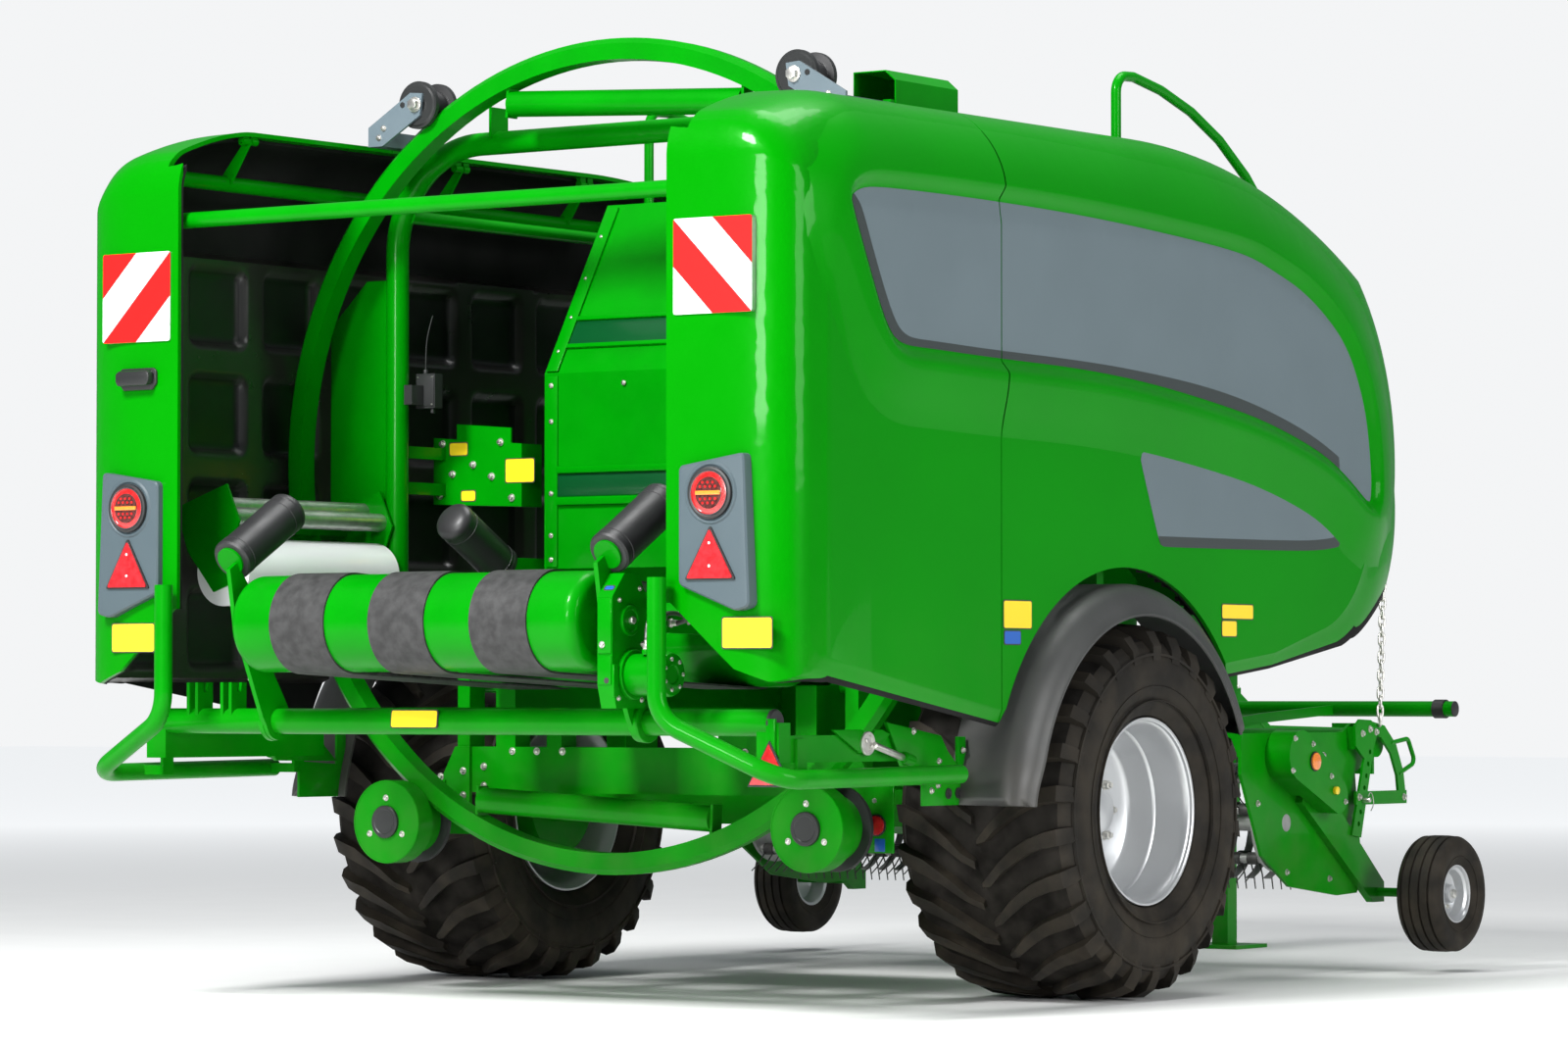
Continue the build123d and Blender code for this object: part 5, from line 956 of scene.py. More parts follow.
bm = bmesh.new()
for s in (1, -1):
    out = outward(s)
    for x, z in ((-1.863, 1.19), (-0.8, 1.132)):
        hub = at(x, s * TABLE_SIDE, z)
        add_stud(bm, hub, out, 0, 0.006, 0.04, steps=32, bevel=0.0015)
        add_stud(bm, hub, out, 0.006, 0.02, 0.02, steps=6, bevel=0.001, mat=1)
        add_bolts(bm, around(hub, 0.056, 4, start=45), out, 0.0085)
    add_bolts(bm, [at(x, s * TABLE_SIDE, z) for x, z in ((-1.7, 0.905), (-1.752, 0.872), (-1.5, 1.19),
                                                         (-1.82, 1.08), (-1.842, 1.02), (-0.64, 1.235))],
              out, 0.01)
    add_turned(bm, ((0, 0.0405), (0, 0.062), (0.016, 0.062), (0.018, 0.06), (0.018, 0.0405)),
               at(-1.724, s * TABLE_SIDE, 0.888), out, steps=40)
piece("table_plate_bolts", bm, "table", "green_paint", green_steel, zinc)

# hydraulic motor of the rear drum, its fittings and pipes
MOTOR_FLANGE = ((0, 0), (0, 0.074), (0.014, 0.074), (0.016, 0.072), (0.016, 0))
MOTOR_END = ((0.092, 0), (0.092, 0.0665), (0.104, 0.0665), (0.107, 0.064), (0.113, 0.064), (0.116, 0.0665),
             (0.138, 0.0665), (0.149, 0.062), (0.153, 0.054), (0.153, 0.03), (0.149, 0.026), (0.149, 0))
COVER_BOSS = ((-0.001, 0), (-0.001, 0.046), (0.005, 0.046), (0.008, 0.043), (0.008, 0.034), (0.005, 0.031),
              (0.005, 0))
COVER_BUTTON = ((-0.004, 0), (-0.004, 0.006), (-0.001, 0.009), (0.0008, 0.009), (0.0008, 0))
bm = bmesh.new()
motor = at(-1.862, -TABLE_SIDE - 0.055, 1.03)
add_turned(bm, MOTOR_FLANGE, motor, RIGHT, steps=40)
add_turned(bm, MOTOR_END, motor, RIGHT)
add_bolts(bm, around(motor + RIGHT * 0.15, 0.046, 7), RIGHT, 0.009)
for dx, run in ((-0.028, 0.075), (0.028, 0.18)):
    port = motor + Vector((dx, -0.075, 0.058))
    add_stud(bm, port, UP, 0, 0.016, 0.014, steps=20, bevel=0.001)
    add_stud(bm, port, UP, 0.014, 0.032, 0.0125, steps=6, bevel=0.001, mat=1)
    add_stud(bm, port, UP, 0.03, 0.044, 0.0085, steps=16, mat=1)
    joint = at(-1.78 + run, -TABLE_SIDE - 0.002, 1.186)
    add_stud(bm, joint, RIGHT, 0, 0.012, 0.0135, steps=6, bevel=0.001, mat=1)
    add_stud(bm, joint, RIGHT, 0.01, 0.03, 0.0095, steps=16, mat=1)
    bends = [port + Vector(step) for step in ((0, 0, 0.04), (0, 0, 0.07), (0.02, 0.004, 0.112),
                                              (0.075, 0.012, 0.128))]
    bends += [joint + Vector(step) for step in ((-0.04, -0.09, 0.022), (-0.008, -0.068, 0.004), (0, -0.028, 0))]
    add_pipe(bm, bends, 0.0075, mat=2, resolution=6)
# cover of the drum's drive: its fold, seam, bolts and blank plate
for low, high in ((1.0, 1.085), (1.092, 1.255)):
    add_box(bm, at(COVER_BACK, -0.7735, low), at(-1.9585, -0.7235, high), 0.0015)
add_box(bm, at(-1.9625, -0.7835, 0.965), at(-1.936, -0.7755, 1.06), 0.003)
add_bolts(bm, [at(COVER_BACK, -0.741, 1.118)], BACK, 0.01)
add_turned(bm, COVER_BUTTON, at(COVER_BACK, -0.757, 1.012), BACK, steps=20, mat=2)
label_plate(bm, at(-1.938, -0.749, 1.2857), RIGHT, (0.06, 0, 0.07), 0.04, 0.02, 3)
boss = at(-1.875, COVER_SIDE, 1.19)
add_turned(bm, COVER_BOSS, boss, RIGHT, steps=36)
add_stud(bm, boss, RIGHT, 0, 0.017, 0.012, steps=6, bevel=0.001, mat=1)
add_bolts(bm, [at(x, COVER_SIDE, z) for x, z in ((-1.925, 1.25), (-1.825, 1.285), (-1.815, 0.955),
                                                 (-1.93, 0.96), (-1.812, 1.12))], RIGHT, 0.008)
piece("drum_motor", bm, "table", "green_paint", green_steel, zinc, plate_edge, plate_blue)

# Blank plates on a door: side-view place, width, height, colour.
DOOR_PLATES = ((-0.7, 1.217, 0.165, 0.09, 0), (-0.73, 1.146, 0.098, 0.046, 1),
               (0.65, 1.243, 0.208, 0.052, 0), (0.595, 1.187, 0.1, 0.056, 0))
for name, s in SIDES:
    bm = bmesh.new()
    label_plate(bm, at(REAR_FACE, -1.241 if s < 0 else 1.132, 1.15), RIGHT, UP, 0.182, 0.094, 0)
    skin = door_skin(name, s)
    for x, z, width, height, mat in DOOR_PLATES:
        spot, normal = skin.place(x, z, 0.0)
        across = UP.cross(normal).normalized()
        label_plate(bm, spot, across, normal.cross(across), width, height, mat, lift=0.0016)
    piece(f"door_plates_{name}", bm, f"door_{name}", "green_gloss", plate_yellow, plate_blue, plate_edge)

bm = bmesh.new()
label_plate(bm, at(-1.7645, 0.126, 0.896), RIGHT, (0.1, 0, 1), 0.185, 0.058, 0, lift=0.004)
piece("tube_plate", bm, "chassis", "green_paint", plate_yellow, plate_blue, plate_edge)

COVER_FRONT = -0.5
bm = bmesh.new()
for y, z, width, height in ((0.957, 1.796, 0.082, 0.048), (0.697, 1.718, 0.126, 0.084), (0.915, 1.638, 0.066, 0.04)):
    label_plate(bm, at(COVER_FRONT, y, z), RIGHT, UP, width, height, 0)
for y, z in ((0.982, 1.712), (0.894, 1.742), (0.815, 1.701), (1.025, 1.815), (0.778, 1.815), (0.73, 1.628),
             (1.035, 1.64)):
    spot = at(COVER_FRONT, y, z)
    add_stud(bm, spot, BACK, 0, 0.004, 0.013, steps=24, bevel=0.0006, mat=3)
    add_stud(bm, spot, BACK, 0.004, 0.014, 0.0085, steps=6, bevel=0.0006, mat=3)
piece("cover_plates_bolts", bm, "chassis", "green_paint", plate_yellow, plate_blue, plate_edge, zinc)


# ---------------------------------------------------------------- lamp housings and the rear handle
HOUSING = ((1.01, 1.64), (1.245, 1.675), (1.265, 1.225), (1.215, 1.212), (1.01, 1.29))
HOUSING_ROOT, HOUSING_DEPTH = -1.906, 0.05
LAMP_RING = ((-0.001, 0.078), (0.0015, 0.08), (0.0045, 0.084), (0.0045, 0.088), (-0.001, 0.094))
GRIP_PLATE = ((-0.078, -0.016), (-0.06, -0.036), (0.06, -0.036), (0.078, -0.016), (0.078, 0.024), (0.066, 0.034),
              (-0.066, 0.034), (-0.078, 0.024))
GRIP_BLOCK = ((-0.07, -0.004), (-0.062, -0.02), (0.062, -0.02), (0.07, -0.004), (0.07, 0.02), (0.058, 0.028),
              (-0.058, 0.028), (-0.07, 0.02))
for name, s in SIDES:
    bm = bmesh.new()
    housing_face = at(HOUSING_ROOT - HOUSING_DEPTH, s * LAMP_Y, LAMP_Z)
    verts = add_plate(bm, [at(HOUSING_ROOT, s * y, z) for y, z in HOUSING], BACK * HOUSING_DEPTH)
    round_corners(bm, verts, AHEAD, 0.016, segments=4)
    rim = [edge for edge in bm.edges if all(abs(v.co.x - housing_face.x) < 0.0005 for v in edge.verts)]
    bevel_edges(bm, rim, 0.013, 3, profile=0.6)
    add_turned(bm, LAMP_RING, housing_face, BACK)
    half = BOARD / 2
    board = [at(-1.9, s * BOARD_Y + a * half, BOARD_Z + b * half) for a, b in ((-1, -1), (1, -1), (1, 1), (-1, 1))]
    round_corners(bm, add_plate(bm, board, BACK * 0.0338, mat=1), AHEAD, 0.008, segments=4)
    piece(f"lamp_housing_{name}", bm, f"door_{name}", "lamp_grey", lamp_grey, bare_steel,
          replaces=(f"rear_lamps_{name}",), sharp=0.5)

bm = bmesh.new()
grip = at(REAR_FACE, 1.111, 1.967)
for root, outline, thickness, bevel in ((0.001, GRIP_PLATE, (-0.01, 0, 0), 0.004),
                                        (-0.008, GRIP_BLOCK, (-0.03, 0, -0.004), 0.007)):
    add_plate(bm, [grip + Vector((root, dy, dz)) for dy, dz in outline], thickness, bevel=bevel)
add_stud(bm, grip + Vector((0, 0.066, 0.004)), BACK, 0.009, 0.0125, 0.006, steps=12, mat=1)
piece("rear_handle", bm, "door_left", "black_plastic", cap_black, zinc)

# ---------------------------------------------------------------- chamber door: folds, bolts and stiffeners
GATE_FACE = -0.449
GATE_FOLD = at(-0.45, 0, 2.04)
GATE_SLOPE = Vector((0.35, 0, 0.59))
GATE_OUT = Vector((-0.59, 0, 0.35)).normalized()
GATE_HALF = 0.574
bm = bmesh.new()
for s in (1, -1):
    add_bolts(bm, [at(-0.4555, s * y, z) for y, z in ((0.6, 2.0), (0.6, 1.88), (0.6, 1.64), (0.6, 1.5),
                                                      (0.6, 1.42), (0.3, 2.0), (0.1, 2.0),
                                                      (0.3, 1.42), (0.1, 1.42))], BACK, 0.0085)
    add_plate(bm, [at(GATE_FACE, s * y, z) for y, z in ((0.622, 1.395), (0.622, 2.032), (0.575, 2.032),
                                                        (0.575, 1.395))], BACK * 0.0065, bevel=0.0015)
for low, high in ((1.6, 1.628), (1.706, 1.73)):
    add_box(bm, at(-0.466, -GATE_HALF, low), at(GATE_FACE, GATE_HALF, high), 0.004)
add_box(bm, at(-0.4535, -GATE_HALF, 1.63), at(GATE_FACE, GATE_HALF, 1.704), 0.001, mat=2)
for s in (1, -1):
    edge = GATE_FOLD + GATE_OUT * 0.0065 + outward(s) * 0.6
    add_bolts(bm, [edge + GATE_SLOPE * share for share in (0.12, 0.32, 0.55, 0.8)], GATE_OUT, 0.0085)
    root = at(-0.45, s * 0.575, 2.045) - GATE_OUT * 0.001
    side, rise = outward(s) * 0.047, Vector((0.34, 0, 0.573))
    add_plate(bm, [root, root + side, root + side + rise, root + rise], GATE_OUT * 0.0075, bevel=0.0015)
base = GATE_FOLD - outward(GATE_HALF) - GATE_OUT * 0.001
wide = outward(2 * GATE_HALF)
for low, high, mat, lift in ((0.165, 0.3, 2, 0.0045), (0.14, 0.163, 0, 0.012), (0.302, 0.325, 0, 0.012)):
    start, end = base + GATE_SLOPE * low, base + GATE_SLOPE * high
    add_plate(bm, [start, start + wide, end + wide, end], GATE_OUT * (lift + 0.001), bevel=0.002, mat=mat)
piece("chamber_door_fittings", bm, "chamber_gate", "green_paint", green_steel, zinc, dark_green)

# ---------------------------------------------------------------- pick-up: tines, stripper bands and small parts
REEL_X, REEL_Z = 1.5, 0.53
BAR_AT, BARS, TINE_PITCH, TINE_ROWS, TWIN = 0.15, 5, 0.07, 30, 0.018
TINE, TINE_TIP = 0.0028, 0.0022
COIL = ((-0.02, 0.0162), (-0.02, 0.0215), (0.02, 0.0215), (0.02, 0.0162))
bm = bmesh.new()
for i in range(BARS):
    a = math.radians(18 + 360 / BARS * i)
    out, trail = Vector((math.cos(a), 0, math.sin(a))), Vector((math.sin(a), 0, -math.cos(a)))
    for j in range(TINE_ROWS):
        root = at(REEL_X, (j - (TINE_ROWS - 1) / 2) * TINE_PITCH, REEL_Z) + out * BAR_AT
        for twin in (-TWIN, TWIN):
            tine = root + outward(twin)
            add_rod(bm, tine + out * 0.02, tine + out * 0.072 + trail * 0.01, TINE, steps=5, end_radius=0.0027)
            add_rod(bm, tine + out * 0.07 + trail * 0.0095, tine + out * 0.118 + trail * 0.03, TINE, steps=5,
                    end_radius=TINE_TIP)
        add_turned(bm, COIL, root, LEFT, steps=10)
piece("pickup_tines", bm, "reel", "steel", spring_steel, sharp=0.9)

BAND_SECTION = ((-0.016, 0.204), (-0.0135, 0.2062), (0.0135, 0.2062), (0.016, 0.204), (0.015, 0.202),
                (-0.015, 0.202))
BAND_BEGIN, BAND_TURN = math.radians(-72), 192
bm = bmesh.new()
for j in range(TINE_ROWS - 1):
    y = (j - (TINE_ROWS - 2) / 2) * TINE_PITCH
    centre = at(REEL_X, y, REEL_Z)
    add_swept(bm, [centre + Vector((r * math.cos(BAND_BEGIN), dy, r * math.sin(BAND_BEGIN)))
                   for dy, r in BAND_SECTION], centre, BAND_TURN, 16)
    add_box(bm, at(1.212, y - 0.015, 0.7275), at(1.452, y + 0.015, 0.73), 0.0005)
piece("stripper_bands", bm, "pickup", "steel", band_zinc, sharp=0.8)

CASE_SIDE = -1.19
rubber_at, yellow_at, zinc_at, amber_at = 1, 2, 3, 4
bm = bmesh.new()
for s in (1, -1):
    out = outward(s)
    add_stud(bm, at(2.545, s * 1.195, 0.92), out, 0, 0.004, 0.0285, steps=28, bevel=0.002, mat=rubber_at)
    add_turned(bm, ((-0.022, 0.0284), (-0.022, 0.034), (0.022, 0.034), (0.022, 0.0284)),
               at(2.545, s * 1.14, 0.92), out, steps=32, mat=rubber_at)
    add_bolts(bm, [at(x, s * 1.13, z) for x, z in ((1.975, 0.835), (2.03, 0.85), (2.075, 0.84), (1.95, 0.612),
                                                    (2.28, 0.608))], out, 0.012, mat=zinc_at)
    pin = at(1.976, s * 1.131, 0.602)
    add_stud(bm, pin, out, 0, 0.03, 0.0085, steps=16, bevel=0.001, mat=zinc_at)
    clip = [pin + Vector((dx, s * 0.022, dz)) for dx, dz in ((0, 0.012), (0.01, 0.03), (0.03, 0.018),
                                                            (0.042, -0.02), (0.018, -0.038))]
    add_pipe(bm, clip, 0.0018, mat=zinc_at, resolution=5)
    add_bolts(bm, [at(x, s * 1.092, z) for x, z in ((1.3, 0.6), (1.5, 0.36), (1.8, 0.33), (1.76, 0.76))],
              out, 0.011, mat=zinc_at)
# drive case: bolts round its edge, orange reflector, yellow grease cap
add_bolts(bm, [at(x, CASE_SIDE, z) for x, z in ((1.388, 0.822), (1.512, 0.802), (1.64, 0.69), (1.74, 0.6),
                                                (1.372, 0.712))], RIGHT, 0.01, mat=zinc_at)
reflector = at(1.525, CASE_SIDE, 0.742)
add_stud(bm, reflector, RIGHT, 0, 0.005, 0.034, steps=32, bevel=0.0015, mat=rubber_at)
add_stud(bm, reflector, RIGHT, 0, 0.01, 0.03, steps=32, bevel=0.002, mat=amber_at)
add_stud(bm, at(1.665, CASE_SIDE, 0.64), RIGHT, 0, 0.014, 0.014, steps=16, bevel=0.002, mat=yellow_at)
piece("pickup_fittings", bm, "pickup", "green_paint", green_steel, seal_black, plate_yellow, zinc, lens_amber)

# ---------------------------------------------------------------- gauge wheels
GAUGE_X, GAUGE_Y, GAUGE_Z = 2.105, 1.37, 0.275
GAUGE_WALL = ((0.063, 0.108), (0.075, 0.13), (0.082, 0.152), (0.081, 0.172), (0.076, 0.186), (0.068, 0.1945))
RIBBED = [(-0.06, 0.099), (0.06, 0.099), *GAUGE_WALL]
for groove in (0.052, 0.018, -0.018, -0.052):
    crown = 0.2045 - 0.9 * groove * groove
    RIBBED += [(groove + 0.005, crown - 0.0005), (groove + 0.003, crown - 0.008), (groove - 0.003, crown - 0.008),
               (groove - 0.005, crown - 0.0005)]
RIBBED += [(-across, radius) for across, radius in reversed(GAUGE_WALL)]
WALL_BEAD = ((-0.001, 0.128), (0.0012, 0.13), (0.0012, 0.133), (-0.001, 0.135))
SMALL_RIM = ((0.062, 0.101), (0.062, 0.097), (0.059, 0.0945), (0.052, 0.0925), (0.045, 0.084), (0.012, 0.08),
             (0.008, 0.074), (0.008, 0.046), (0.012, 0.042), (0.018, 0.038), (0.02, 0.033), (0.042, 0.031),
             (0.045, 0.029), (0.045, 0), (0, 0), (-0.004, 0.074), (-0.006, 0.08), (-0.058, 0.09),
             (-0.062, 0.097), (-0.062, 0.101), (-0.056, 0.101), (-0.05, 0.096), (0.05, 0.096), (0.056, 0.101))
for name, s in SIDES:
    out = outward(s)
    hub = at(GAUGE_X, s * GAUGE_Y, GAUGE_Z)
    bm = bmesh.new()
    add_turned(bm, RIBBED, hub, out, steps=80)
    for way in (1, -1):
        add_turned(bm, WALL_BEAD, hub + out * 0.0765 * way, out * way, steps=64)
    piece(f"gauge_wheel_tyre_{name}", bm, f"gauge_wheel_{name}", "tyre_rubber", tyre_rubber,
          replaces=(f"gauge_tyre_{name}",), sharp=0.6)
    bm = bmesh.new()
    add_turned(bm, SMALL_RIM, hub, out, steps=64)
    add_bolts(bm, around(hub + out * 0.008, 0.056, 5, start=math.degrees(0.3)), out, 0.009)
    add_stud(bm, hub, out, 0.045, 0.055, 0.016, steps=6, bevel=0.001, mat=1)
    piece(f"gauge_wheel_rim_{name}", bm, f"gauge_wheel_{name}", "silver_rim", rim_silver, zinc,
          replaces=(f"gauge_rim_{name}",), sharp=0.6)

# ---------------------------------------------------------------- lift chains of the pick-up
LINKS, LINK_WIRE = 20, 0.0045
LINK_SHAPE = ((-0.55, -1), (-1, -0.6), (-1, 0.6), (-0.55, 1), (0.55, 1), (1, 0.6), (1, -0.6), (0.55, -1))
for name, s in SIDES:
    bm = bmesh.new()
    top, low = at(2.17, s * 1.112, 1.5), at(2.085, s * 1.14, 0.866)
    pitch, along = (low - top).length / LINKS, (low - top).normalized()
    across = along.orthogonal().normalized()
    for i in range(LINKS):
        # each link is turned a quarter from the last
        middle, side = top + along * pitch * (i + 0.5), across if i % 2 else along.cross(across)
        link = [middle + along * a * pitch * 0.68 + side * b * pitch * 0.3 for a, b in LINK_SHAPE]
        add_pipe(bm, link, LINK_WIRE, resolution=2, cyclic=True)
    chain = piece(f"lift_chain_{name}", bm, None, "steel", zinc, sharp=0.9)
    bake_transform(chain)


# ---------------------------------------------------------------- small parts of the frame
BEAM_SIDE, BEAM_BACK, FLAP_FACE = 1.2296, -0.7, -0.7215
BRACKET = ((-1.487, 0.866), (-1.344, 0.796), (-1.258, 0.796), (-1.182, 0.852), (-1.225, 0.866), (-1.262, 0.866),
           (-1.272, 0.853), (-1.32, 0.853), (-1.33, 0.866))
GUSSET = ((-1.204, 0.888), (-1.117, 0.754), (-0.806, 0.75), (-0.868, 0.8), (-0.905, 0.846))
FLANGE = ((-1.0, 0.752), (-1.0, 0.632), (-0.775, 0.632), (-0.76, 0.65), (-0.76, 0.842), (-0.806, 0.842),
          (-0.806, 0.74))
PIN_DISC = ((0, 0), (0, 0.036), (0.006, 0.036), (0.008, 0.034), (0.008, 0.024), (0.005, 0.022), (0.005, 0))
ROD_SLEEVE = ((-0.016, 0), (-0.016, 0.017), (0.03, 0.017), (0.032, 0.015), (0.032, 0))
GROMMET = ((0, 0), (0, 0.017), (0.0035, 0.017), (0.0035, 0.012), (0.001, 0.011), (0.001, 0))
TYRE_SHIELD = ((-0.62, 0.985), (1.0, 0.985), (1.0, 1.36), (0.9, 1.43), (-0.48, 1.43), (-0.62, 1.3))
TUBE_CAP = ((-0.002, 0), (-0.002, 0.0408), (0.004, 0.0408), (0.009, 0.036), (0.01, 0))
bm = bmesh.new()
zinc_at, dark_at, red_at, blue_at = 1, 2, 3, 4
for s in (1, -1):
    out = outward(s)
    # bolts and nuts on the cross beam and the roller hangers
    add_bolts(bm, [at(BEAM_BACK, s * y, z) for y, z in ((0.571, 0.786), (0.47, 0.786), (0.365, 0.786),
                                                        (0.69, 0.735), (0.69, 0.672))], BACK, 0.012)
    add_bolts(bm, [at(-0.714, s * y, z) for y, z in ((0.765, 0.72), (0.86, 0.7), (0.765, 0.64),
                                                     (0.875, 0.64))], BACK, 0.012)
    # cylinder bracket, its pin disc and rod, and the gusset that carries the guard rail's end
    for shape, thick in ((BRACKET, 0.012), (GUSSET, 0.014), (FLANGE, 0.01)):
        add_side_plate(bm, [at(x, s * BEAM_SIDE, z) for x, z in shape], s, thick, 0.002)
    disc = at(-1.309, s * (BEAM_SIDE + 0.012), 0.825)
    add_turned(bm, PIN_DISC, disc, out, steps=36, mat=zinc_at)
    add_bolts(bm, [disc + out * 0.005 + Vector(step) for step in ((-0.014, 0, 0.008), (0.014, 0, -0.01))], out, 0.009)
    add_rod(bm, disc + out * 0.014 + Vector((0.02, 0, -0.006)), at(-1.09, s * (BEAM_SIDE + 0.016), 0.773), 0.0105,
            steps=20, bevel=0.001, mat=zinc_at)
    add_turned(bm, ROD_SLEEVE, at(-1.11, s * (BEAM_SIDE + 0.024), 0.778), (0.975, 0, -0.22), steps=24)
    for x, z, lift in ((-0.919, 0.768, 0.014), (-1.06, 0.86, 0.014), (-0.919, 0.694, 0.01), (-0.955, 0.678, 0.01),
                       (-0.783, 0.8, 0.014)):
        add_bolts(bm, [at(x, s * (BEAM_SIDE + lift), z)], out, 0.01)
    for x, z in ((-0.86, 0.668), (-0.805, 0.669)):
        add_turned(bm, GROMMET, at(x, s * (BEAM_SIDE + 0.0098), z), out, steps=24, mat=dark_at)
    # shield over the inside of the tyre, with its stays
    add_side_plate(bm, [at(x, s * 0.79, z) for x, z in TYRE_SHIELD], s, 0.006, 0.002)
    for x in (-0.56, 0.05, 0.94):
        add_stud(bm, at(x, s * 0.6, 0.992), out, 0, 0.194, 0.014, steps=16, bevel=0.001)
    # hanger flap beside the lower guide roller
    inner, outer = sorted((s * 0.838, s * 0.946))
    add_box(bm, at(FLAP_FACE, inner, 0.476), at(-0.7145, outer, 0.69), 0.0025)
    # end caps of the rear cross tube
    add_turned(bm, TUBE_CAP, at(-1.724, s * 1.194, 0.888), out, steps=32, mat=dark_at)
# red reflector and blank plate on the right flap
spot = at(FLAP_FACE, -0.884, 0.563)
add_stud(bm, spot, BACK, 0, 0.005, 0.035, steps=32, bevel=0.0015, mat=dark_at)
add_stud(bm, spot, BACK, 0, 0.009, 0.03, steps=32, bevel=0.002, mat=red_at)
add_box(bm, at(-0.7225, -0.914, 0.481), at(-0.7213, -0.876, 0.521), 0.0004, mat=blue_at)
# red triangle at the end of the right outer beam
corner = at(-1.764, -1.206, 0.7)
centre = corner + UP * 0.046
for grow, lift, tone in ((1.0, 0.006, dark_at), (0.88, 0.01, red_at)):
    outline = [centre + (corner + Vector(step) - centre) * grow
               for step in ((0, -0.079, 0), (0, 0.079, 0), (0, 0, 0.137))]
    add_plate(bm, outline, BACK * lift, bevel=0.002, mat=tone)
add_box(bm, corner + Vector((0, -0.016, 0.05)), corner + Vector((0.012, 0.016, 0.2)), 0.002)
piece("frame_bolts", bm, "chassis", "green_paint", green_steel, zinc, cap_black, reflector_red, plate_blue)

# control box: lid, cable gland and its aerial
BOX_LOW, BOX_HIGH = (0.909, 1.931), (0.981, 2.034)
bm = bmesh.new()
rear_x = AXLE_X - 0.694
add_box(bm, (rear_x - 0.003, *BOX_LOW), (rear_x + 0.001, *BOX_HIGH), 0.0025)
for y in (BOX_LOW[0] + 0.006, BOX_HIGH[0] - 0.006):
    for z in (BOX_LOW[1] + 0.006, BOX_HIGH[1] - 0.006):
        add_stud(bm, (rear_x, y, z), BACK, 0.003, 0.005, 0.003, steps=10, mat=1)
gland = Vector((rear_x + 0.02, 0.96, 2.04))
add_stud(bm, gland, UP, 0, 0.014, 0.008, steps=16, bevel=0.001)
add_pipe(bm, [gland + Vector(step) for step in ((0, 0, 0.01), (0, 0, 0.08), (0.004, -0.006, 0.14),
                                                (0.012, -0.02, 0.195))], 0.0022)
add_stud(bm, (rear_x + 0.02, 0.93, 1.925), DOWN, 0.016, 0, 0.008, steps=16, bevel=0.001)
piece("control_box_fittings", bm, "chassis", "black_plastic", cap_black, zinc)


# ---------------------------------------------------------------- front cabinet
CABINET_FRONT = ((1.96, 1.45), (2.01, 1.8), (1.93, 2.16), (1.72, 2.43))
RAIL_FOOT = ((-0.012, 0.0172), (-0.012, 0.024), (0.012, 0.024), (0.014, 0.022), (0.014, 0.0172))


def cabinet_slope(low, high):
    """One fold of the cabinet's front: its foot, its rise, its length and the way it faces."""
    foot = at(low[0], 0, low[1])
    rise = at(high[0], 0, high[1]) - foot
    return foot, rise.normalized(), rise.length, rise.normalized().cross(RIGHT)


bm = bmesh.new()
for low, high in zip(CABINET_FRONT, CABINET_FRONT[1:]):
    foot, rise, length, out = cabinet_slope(low, high)
    for s in (1, -1):
        near, far = outward(0.012 * s), outward(0.862 * s)
        start, end = foot + rise * 0.018 - out * 0.001, foot + rise * (length - 0.018) - out * 0.001
        corners = [start + near, end + near, end + far, start + far]
        add_plate(bm, corners[::s], out * 0.007, bevel=0.0025)
        add_bolts(bm, [foot + outward(y * s) + rise * share + out * 0.0055
                       for share in (0.055, length - 0.055) for y in (0.055, 0.82)], out, 0.008)
foot, latch_rise, _, latch_out = cabinet_slope(*CABINET_FRONT[1:3])
for s in (1, -1):
    out = outward(s)
    latch = foot + outward(0.1 * s) + latch_rise * 0.18 + latch_out * 0.005
    add_stud(bm, latch, latch_out, 0, 0.012, 0.028, steps=28, bevel=0.002, mat=2)
    add_rod(bm, latch + latch_out * 0.01 - latch_rise * 0.034, latch + latch_out * 0.016 + latch_rise * 0.034,
            0.007, steps=12, bevel=0.001, mat=2)
    for z in (1.56, 1.7):
        knuckle = at(1.974 + (z - CABINET_FRONT[0][1]) / 7, 0.862 * s, z)
        add_stud(bm, knuckle, UP, -0.03, 0.03, 0.01, steps=16, bevel=0.001)
    # feet of the hand rails
    add_turned(bm, RAIL_FOOT, at(1.801, 0.965 * s, 2.252), UP, steps=28)
    add_bolts(bm, [at(1.806, y * s, 2.29) for y in (0.925, 1.0)], AHEAD, 0.008)
    # bolts along the skirts under the doors
    add_bolts(bm, [at(x, 0.9 * s, z) for x, z in ((1.035, 1.235), (1.035, 1.05), (1.15, 0.935), (1.46, 0.935),
                                                    (1.6, 1.18))], out, 0.009)
piece("cabinet_panels", bm, "chassis", "green_paint", green_steel, zinc, cap_black)

# ---------------------------------------------------------------- drawbar and hitch eye
BAR_SIDE = 0.075
HITCH_X, HITCH_Z = 4.08, 0.76
PRESSED_EDGES = (((2.76, 1.04), (3.13, 0.85)), ((3.22, 0.835), (3.88, 0.822)),
                 ((2.76, 0.975), (3.12, 0.725)), ((3.22, 0.715), (3.88, 0.715)))
WEAR_RING = ((-0.0225, 0.0252), (-0.0225, 0.033), (-0.019, 0.036), (0.019, 0.036), (0.0225, 0.033), (0.0225, 0.0252))
bm = bmesh.new()
for y in (-0.066, 0.066):
    for z in (0.69, 0.76, 0.83):
        add_bolts(bm, [at(3.992, y, z)], AHEAD, 0.013)
        add_stud(bm, at(3.96, y, z), BACK, 0, 0.02, 0.0125, steps=6, bevel=0.001, mat=1)
add_bolts(bm, [at(x, -BAR_SIDE, z) for x in (3.22, 3.28) for z in (0.775, 0.8)], RIGHT, 0.01)
